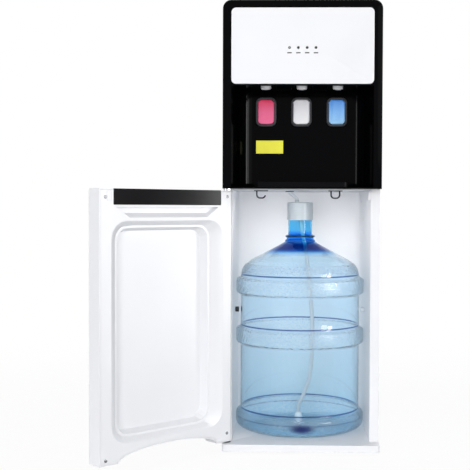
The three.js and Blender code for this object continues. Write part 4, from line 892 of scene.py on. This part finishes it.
@dataclass
class TapHousing:
    """The black housing with its panel, indicators, taps, levers and drip tray."""

    label: tuple[float, float, float, float] = (-0.0923, -0.0369, 0.5941, 0.6206)
    label_wall: float = -0.0762
    label_thickness: float = 0.2 * MM
    mark_size: Point = (8.5 * MM, 0.1 * MM, 2.3 * MM)
    mark_level: float = 0.7830

    def build(self) -> None:
        """Dresses the housing's nodes and adds its print, label and levers."""
        refined("front_fascia", Finish.PIANO_BLACK, angle=30)
        refined("control_panel", Finish.GLOSS_WHITE, angle=25)
        for number in range(1, 5):
            refined(f"indicator_lens_{number}", Finish.LENS_DARK)
        self.lit_middle()
        refined("display_board", Finish.BOARD)
        refined("drip_tray", Finish.TRAY_BLACK, 0.4)
        refined("drip_grille", Finish.TRAY_BLACK, 0.3)
        for name, finish in (("hot", Finish.PADDLE_RED), ("room", Finish.PADDLE_WHITE),
                             ("cold", Finish.PADDLE_BLUE)):
            dress({f"tap_valve_{name}": (Finish.GLOSS_WHITE, 0.6),
                   f"paddle_bezel_{name}": (Finish.BEZEL_BLACK, 0.5), f"paddle_{name}": (finish, 0.6)})
        self.sticker()
        self.marks()

    def sticker(self) -> None:
        """Adds the plain yellow sticker on the back wall of the recess."""
        x0, x1, z0, z1 = self.label
        front = self.label_wall - self.label_thickness
        sticker = solid("plain_sticker", lambda work: plate(
            work, (x0, front, z0), (x1, self.label_wall, z1)), Finish.YELLOW_LABEL)
        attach(sticker, "cabinet")

    def lit_middle(self) -> None:
        """Adds the glowing middle of the first indicator, inside a dark ring."""
        low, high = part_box("indicator_lens_1")
        middle = ((low[0] + high[0]) / 2, low[1], (low[2] + high[2]) / 2)
        turn = Matrix.Rotation(math.pi / 2, 3, "X")
        glow = solid("indicator_glow", lambda work: lathe(work, rounded_profile(
            [(0, 0.35 * MM), (1.0 * MM, 0.25 * MM), (1.2 * MM, -0.4 * MM), (0, -0.4 * MM)], 0.2 * MM),
            middle, 32, turn), Finish.LENS_LIT)
        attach(glow, "cabinet")

    def marks(self) -> None:
        """Adds a short printed bar under each indicator."""
        x, y, z = (side / 2 for side in self.mark_size)
        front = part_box("control_panel")[0][1] - y
        lenses = [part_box(f"indicator_lens_{number}") for number in range(1, 5)]
        places = [((low[0] + high[0]) / 2, front, self.mark_level) for low, high in lenses]
        Repeat("printed_marks").scatter(
            lambda work: plate(work, (-x, -y, -z), (x, y, z)), places, Finish.GREY_MARK)


@dataclass
class Door:
    """The open door with its shell, pan, trim and screws."""

    hinge: Point = (-0.147, -0.1528, 0.0)
    angle: float = math.radians(-136.5)
    inner: float = -0.1448
    pan_depth: float = 0.028
    free_side: float = 0.080
    draw: float = 0.014
    rim: float = 0.09
    screw_radius: float = 3.2 * MM
    screw_height: float = 0.6 * MM
    screws_at: tuple[Pair, ...] = (
        (-0.141, 0.5047), (-0.141, 0.0375), (0.142, 0.5017), (0.142, 0.0302))

    def to_open(self, point: Point) -> Point:
        """Returns where a point of the shut door is on the open one."""
        axis = Vector(self.hinge)
        return tuple(Matrix.Rotation(self.angle, 3, "Z") @ (Vector(point) - axis) + axis)

    def build(self) -> None:
        """Dresses the door's nodes and adds screws."""
        refined("door_shell", Finish.WHITE_MOULDING, 0.5)
        self.steepen(refined("door_liner", Finish.WHITE_MOULDING, 1.2, 3, 18.0))
        refined("door_top_trim", Finish.TRIM_BLACK, 0.5)
        refined("door_strike", Finish.WHITE_MOULDING, 0.2)
        self.screws()

    def steepen(self, liner: Object) -> None:
        """Draws the pan's wall on the free side outwards, so that it drops more steeply.

        Args:
            liner: The pan's skin, in the open position.
        """
        turn, axis = Matrix.Rotation(self.angle, 3, "Z"), Vector(self.hinge)
        outward, into = turn @ Vector((1, 0, 0)), turn @ Vector((0, -1, 0))
        mouth = self.hinge[1] - self.inner
        for vertex in liner.data.vertices:
            arm = vertex.co - axis
            along = arm.dot(outward) + self.hinge[0]
            depth = (arm.dot(into) - mouth) / self.pan_depth
            if along > self.free_side and depth > self.rim:
                share = min(depth, 1.0)
                vertex.co += outward * self.draw * share * (2 - share)

    def screws(self) -> None:
        """Adds the four screws that hold the pan to the shell."""
        head = screw_head(self.screw_radius, self.screw_height)
        places = [self.to_open((x, self.inner, z)) for x, z in self.screws_at]
        Repeat("door_screws").scatter(
            head, places, Finish.DARK_SCREW, (-math.pi / 2, 0, self.angle), "door")


@dataclass
class Bottle:
    """The five-gallon bottle with the suction probe in its neck."""

    centre: Point = (0.0, -0.0075, 0.0178)
    wall: float = 2.0 * MM
    sides: int = 128
    rings: tuple[Pair, ...] = ((178.4, 217.2), (282.0, 321.6))
    slope: float = 6.0
    body: float = 125.6
    band: float = 134.8
    fillet: float = 3.2

    def outline(self) -> list[Pair]:
        """Lays out the outer profile, whose corners are written as radii and heights in millimetres.

        Returns:
            The profile from the bottom's centre to the mouth, in metres.
        """
        corners = [(0, 5), (60, 5), (78, 1.2), (102, 0.2), (118, 1.8), (128.5, 6.5), (133.6, 12),
                   (self.band, 19), (self.band, 34.5), (130.5, 40), (self.body, 43.5)]
        for low, high in self.rings:
            corners += [(self.body, low), (self.band, low + self.slope),
                        (self.band, high - self.slope), (self.body, high)]
        corners += [
            (124.2, 327.5), (123.6, 333), (117, 345.8), (100, 357.6), (77, 369.3), (65.5, 375.3), (46, 385.8),
            (36, 391.5), (32, 393.6), (32, 397.5), (28.6, 399.5), (28.6, 402), (31.4, 404), (31.4, 406.5),
            (26.4, 408.6), (25.3, 411), (25.3, 470)]
        return rounded_profile([(r * MM, h * MM) for r, h in corners], self.fillet * MM, 3)

    def build(self) -> None:
        """Makes the bottle and the probe."""
        outer = self.outline()

        def shell(work: BMesh) -> None:
            """Fills the bmesh with the bottle's wall."""
            inner = []
            for i, (r, h) in enumerate(outer):
                before, after = outer[max(i - 1, 0)], outer[min(i + 1, len(outer) - 1)]
                along = (Vector(after) - Vector(before)).normalized()
                inward = Vector((-along.y, along.x))
                inner.append((max(r + inward.x * self.wall, 0.0) if i else 0.0, h + inward.y * self.wall))
            inner[-1] = (inner[-1][0], outer[-1][1])
            lathe(work, [*outer, *reversed(inner)], self.centre, self.sides)

        bottle = solid("bottle_shell", shell, Finish.BOTTLE, 80.0)
        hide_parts("bottle")
        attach(bottle, "bottle")
        refined("probe_cap", Finish.CAP_WHITE, 0.8)
        refined("suction_tube", Finish.SILICONE)
        refined("probe_strainer", Finish.GLOSS_WHITE, 0.4)


@dataclass
class InnerWorks:
    """What the back shows: vents, switches, drain, condenser and what lies behind the sheet."""

    wire_radius: float = 0.75 * MM
    wire_level: float = 3.0 * MM
    wire_span: float = 88.5 * MM
    wire_inset: float = 2 * MM
    wire_gaps: int = 5
    wires_in_gap: int = 4

    def build(self) -> None:
        """Dresses the nodes at the back and inside the upper housing."""
        dress({
            "rear_panel": (Finish.GALVANISED,), "switch_plate": (Finish.MATT_BLACK, 0.3),
            "rocker_hot": (Finish.ROCKER_RED, 0.4), "rocker_cold": (Finish.ROCKER_GREEN, 0.4),
            "drain_spout": (Finish.GLOSS_WHITE, 0.4), "drain_plug": (Finish.RUBBER, 0.4),
            "lead_bushing": (Finish.RUBBER, 0.3), "condenser": (Finish.BLACK_STEEL,),
            "compressor": (Finish.BLACK_STEEL, 1.0), "hot_tank": (Finish.STAINLESS, 1.0),
            "cold_tank": (Finish.TANK_FOAM, 1.0), "water_pump": (Finish.MATT_BLACK, 0.8)})
        self.condenser_wires()

    def condenser_wires(self) -> None:
        """Adds the fine wires between the condenser's main ones, by turns before and behind the tube."""
        low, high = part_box("condenser")
        middle = low[1] + self.wire_level + MM
        tall = high[2] - low[2] - 2 * self.wire_inset
        rod = [(0, tall), (self.wire_radius, tall), (self.wire_radius, 0), (0, 0)]
        gap = 2 * self.wire_span / self.wire_gaps
        steps = range(1, self.wires_in_gap + 1)
        places = [(-self.wire_span + gap * (i + step / (self.wires_in_gap + 1)),
                   middle + self.wire_level * (1 if step % 2 else -1), low[2] + self.wire_inset)
                  for i in range(self.wire_gaps) for step in steps]
        Repeat("condenser_wires").scatter(
            lambda work: lathe(work, rod, (0, 0, 0), 8), places, Finish.BLACK_STEEL)


@dataclass
class SupplyHose:
    """The silicone hose from the pump to the probe, through the deck."""

    radius: float = 3.6 * MM
    route: tuple[Point, ...] = (
        (-0.007, -0.0075, 0.5006), (-0.007, -0.0075, 0.5016), (-0.014, -0.0075, 0.5086),
        (-0.0225, -0.0075, 0.5165), (-0.0225, -0.0075, 0.5232), (-0.0225, -0.0075, 0.5502),
        (-0.020, -0.0055, 0.6002), (-0.016, 0.020, 0.6902), (-0.020, 0.070, 0.7122), (-0.040, 0.112, 0.6602),
        (-0.064, 0.128, 0.6002), (-0.064, 0.128, 0.5668))

    def build(self) -> None:
        path = smooth_route(self.route, 8)
        hose = solid("supply_hose_tube", lambda work: swept(work, path, self.radius, 16), Finish.SILICONE)
        length = sum((b - a).length for a, b in zip(path, path[1:]))
        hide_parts("supply_hose")
        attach(hose, "cabinet")


class Role(Enum):
    """What a lamp is for."""

    FILL = 1
    SHINE = 2


@dataclass(frozen=True)
class SoftLamp:
    """A rectangular soft lamp at one point that faces another, in metres and watts."""

    name: str
    at: Point
    aim: Point
    size: Pair
    power: float
    role: Role

    def hang(self) -> None:
        """Adds the lamp, which neither the camera nor a ray through the bottle sees."""
        data = bpy.data.lights.new(self.name, "AREA")
        data.shape = "RECTANGLE"
        data.size, data.size_y = self.size
        data.energy = self.power
        lamp = bpy.data.objects.new(self.name, data)
        lamp.location = self.at
        lamp.rotation_euler = (Vector(self.aim) - Vector(self.at)).to_track_quat("-Z", "Y").to_euler()
        lamp.visible_glossy = self.role is Role.SHINE
        lamp.visible_diffuse = self.role is Role.FILL
        lamp.visible_camera = False
        lamp.visible_transmission = False
        bpy.context.scene.collection.objects.link(lamp)


MIDDLE = (0.0, -0.1, 0.45)
RECESS = (-0.1, -0.1, 0.65)
FILL, SHINE = Role.FILL, Role.SHINE
LAMPS = [SoftLamp(*row) for row in (
    ("front", (-0.35, -3.2, 0.85), MIDDLE, (1.6, 1.4), 47, FILL),
    ("right", (2.3, -2.2, 0.9), MIDDLE, (1.0, 1.4), 10.5, FILL),
    ("left", (-2.2, -2.0, 1.0), MIDDLE, (1.0, 1.4), 15.5, FILL),
    ("overhead", (0.0, -0.7, 2.6), (0.0, -0.3, 0.0), (1.8, 1.8), 11, FILL),
    ("back", (0.6, 2.6, 1.6), MIDDLE, (1.6, 1.4), 34, FILL),
    ("trim_strip", (2.0, -0.28, 0.55), (0.0, -0.2, 0.5), (0.30, 1.2), 42, SHINE),
    ("cove_strip_right", (1.65, -1.12, 0.7), RECESS, (0.26, 1.0), 22, SHINE),
    ("cove_soft_right", (1.05, -1.75, 0.8), RECESS, (0.9, 1.2), 4, SHINE),
    ("cove_fade_right", (1.38, -1.40, 0.7), (-0.12, -0.09, 0.65), (0.36, 1.0), 12, SHINE),
    ("cove_strip_left", (-1.65, -1.12, 0.7), (0.1, -0.1, 0.65), (0.2, 1.0), 8, SHINE),
    ("bay_wash", (0.0, 0.07, 0.28), (0.0, 0.2, 0.28), (0.24, 0.42), 0.08, FILL),
    ("tap_wash", (0.0, -0.16, 0.66), (0.0, 0.0, 0.66), (0.24, 0.20), 0.03, FILL),
    ("bay_glow", (-0.06, -0.16, 0.50), (-0.02, 0.13, 0.27), (0.05, 0.05), 0.075, FILL),
    ("bay_glow", (0.06, -0.16, 0.50), (0.02, 0.13, 0.27), (0.05, 0.05), 0.04, FILL),
)]


@dataclass
class Studio:
    """Camera, lamps, world and floor."""

    eye: Point = (-0.03946, -2.08175, 0.48448)
    yaw: float = 1.4
    pitch: float = -1.749
    roll: float = 0.22
    focal_pixels: float = 977.316
    centre_pixels: Pair = (257.61, 236.94)
    fill_colour: Colour = (0.97, 0.98, 1.0)
    fill_strength: float = 0.27
    floor_half: float = 1.8
    floor_drop: float = 0.2 * MM
    floor_fade: Pair = (0.5, 1.7)
    floor_glow: float = 0.93

    def camera(self) -> None:
        """Sets the camera at the photograph's viewpoint."""
        data = bpy.data.cameras.new("camera")
        data.sensor_width = SENSOR
        data.lens = self.focal_pixels / PHOTO_PIXELS * data.sensor_width
        data.shift_x = -(self.centre_pixels[0] - PHOTO_PIXELS / 2) / PHOTO_PIXELS
        data.shift_y = (self.centre_pixels[1] - PHOTO_PIXELS / 2) / PHOTO_PIXELS
        camera = bpy.data.objects.new("camera", data)
        bpy.context.scene.collection.objects.link(camera)
        turn = (Matrix.Rotation(math.radians(self.yaw), 4, "Z")
                @ Matrix.Rotation(math.radians(90 + self.pitch), 4, "X")
                @ Matrix.Rotation(math.radians(self.roll), 4, "Z"))
        camera.matrix_world = Matrix.Translation(self.eye) @ turn
        bpy.context.scene.camera = camera

    def world(self) -> None:
        """Sets an even world that shows as plain white to the camera, in gloss and through the bottle."""
        shader = Shader("studio", world=True)
        seen = shader.ray("Camera") + shader.ray("Glossy") + shader.ray("Transmission")
        fill = shader.node("ShaderNodeBackground", {}, {
            "Color": self.fill_colour, "Strength": self.fill_strength})
        white = shader.node("ShaderNodeBackground", {}, {"Color": (1.0, 1.0, 1.0), "Strength": 1.0})
        bpy.context.scene.world = shader.finish(shader.node(
            "ShaderNodeMixShader", {}, {0: seen, 1: fill, 2: white}))

    def floor(self) -> None:
        """Adds the pale floor that catches the shadow and fades into the white world."""
        shader = Shader("studio_floor")
        speck = shader.noise(3.0, 2.0)
        colour = shader.blend(speck, (0.93, 0.93, 0.93), (0.95, 0.95, 0.95))
        pale = shader.node("ShaderNodeBsdfDiffuse", {}, {"Color": colour})
        glow = shader.node("ShaderNodeEmission", {}, {"Color": (1.0, 1.0, 1.0), "Strength": 1.0})
        seen = shader.ray("Camera") * self.floor_glow
        lit = shader.node("ShaderNodeMixShader", {}, {0: seen, 1: pale, 2: glow})
        away = shader.node("ShaderNodeVectorMath", {"operation": "LENGTH"}, {0: shader.place()}, "Value")
        fade = shader.ramp(away, *self.floor_fade)
        gone = shader.node("ShaderNodeBsdfTransparent", {}, {"Color": (1.0, 1.0, 1.0)})
        surface = shader.node("ShaderNodeMixShader", {}, {0: fade, 1: lit, 2: gone})
        mesh, half = bpy.data.meshes.new("floor"), self.floor_half
        corners = [(-half, -half, 0), (half, -half, 0), (half, half, 0), (-half, half, 0)]
        mesh.from_pydata(corners, [], [(0, 1, 2, 3)])
        floor = bpy.data.objects.new("floor", mesh)
        floor.location.z = -self.floor_drop
        mesh.materials.append(shader.finish(surface))
        bpy.context.scene.collection.objects.link(floor)

    def build(self) -> None:
        """Sets up the whole studio."""
        bpy.context.scene.view_settings.view_transform = "Standard"
        self.camera()
        self.world()
        self.floor()
        for lamp in LAMPS:
            lamp.hang()


def main() -> None:
    """Builds the sub-assemblies in order."""
    logging.basicConfig(level=logging.INFO, format="%(name)s: %(message)s")
    Studio().build()
    SupplyHose().build()
    for assembly in (Cabinet(), TapHousing(), Door(), Bottle(), InnerWorks()):
        assembly.build()
        LOG.info("%s done", type(assembly).__name__)


if __name__ == "__main__":
    main()
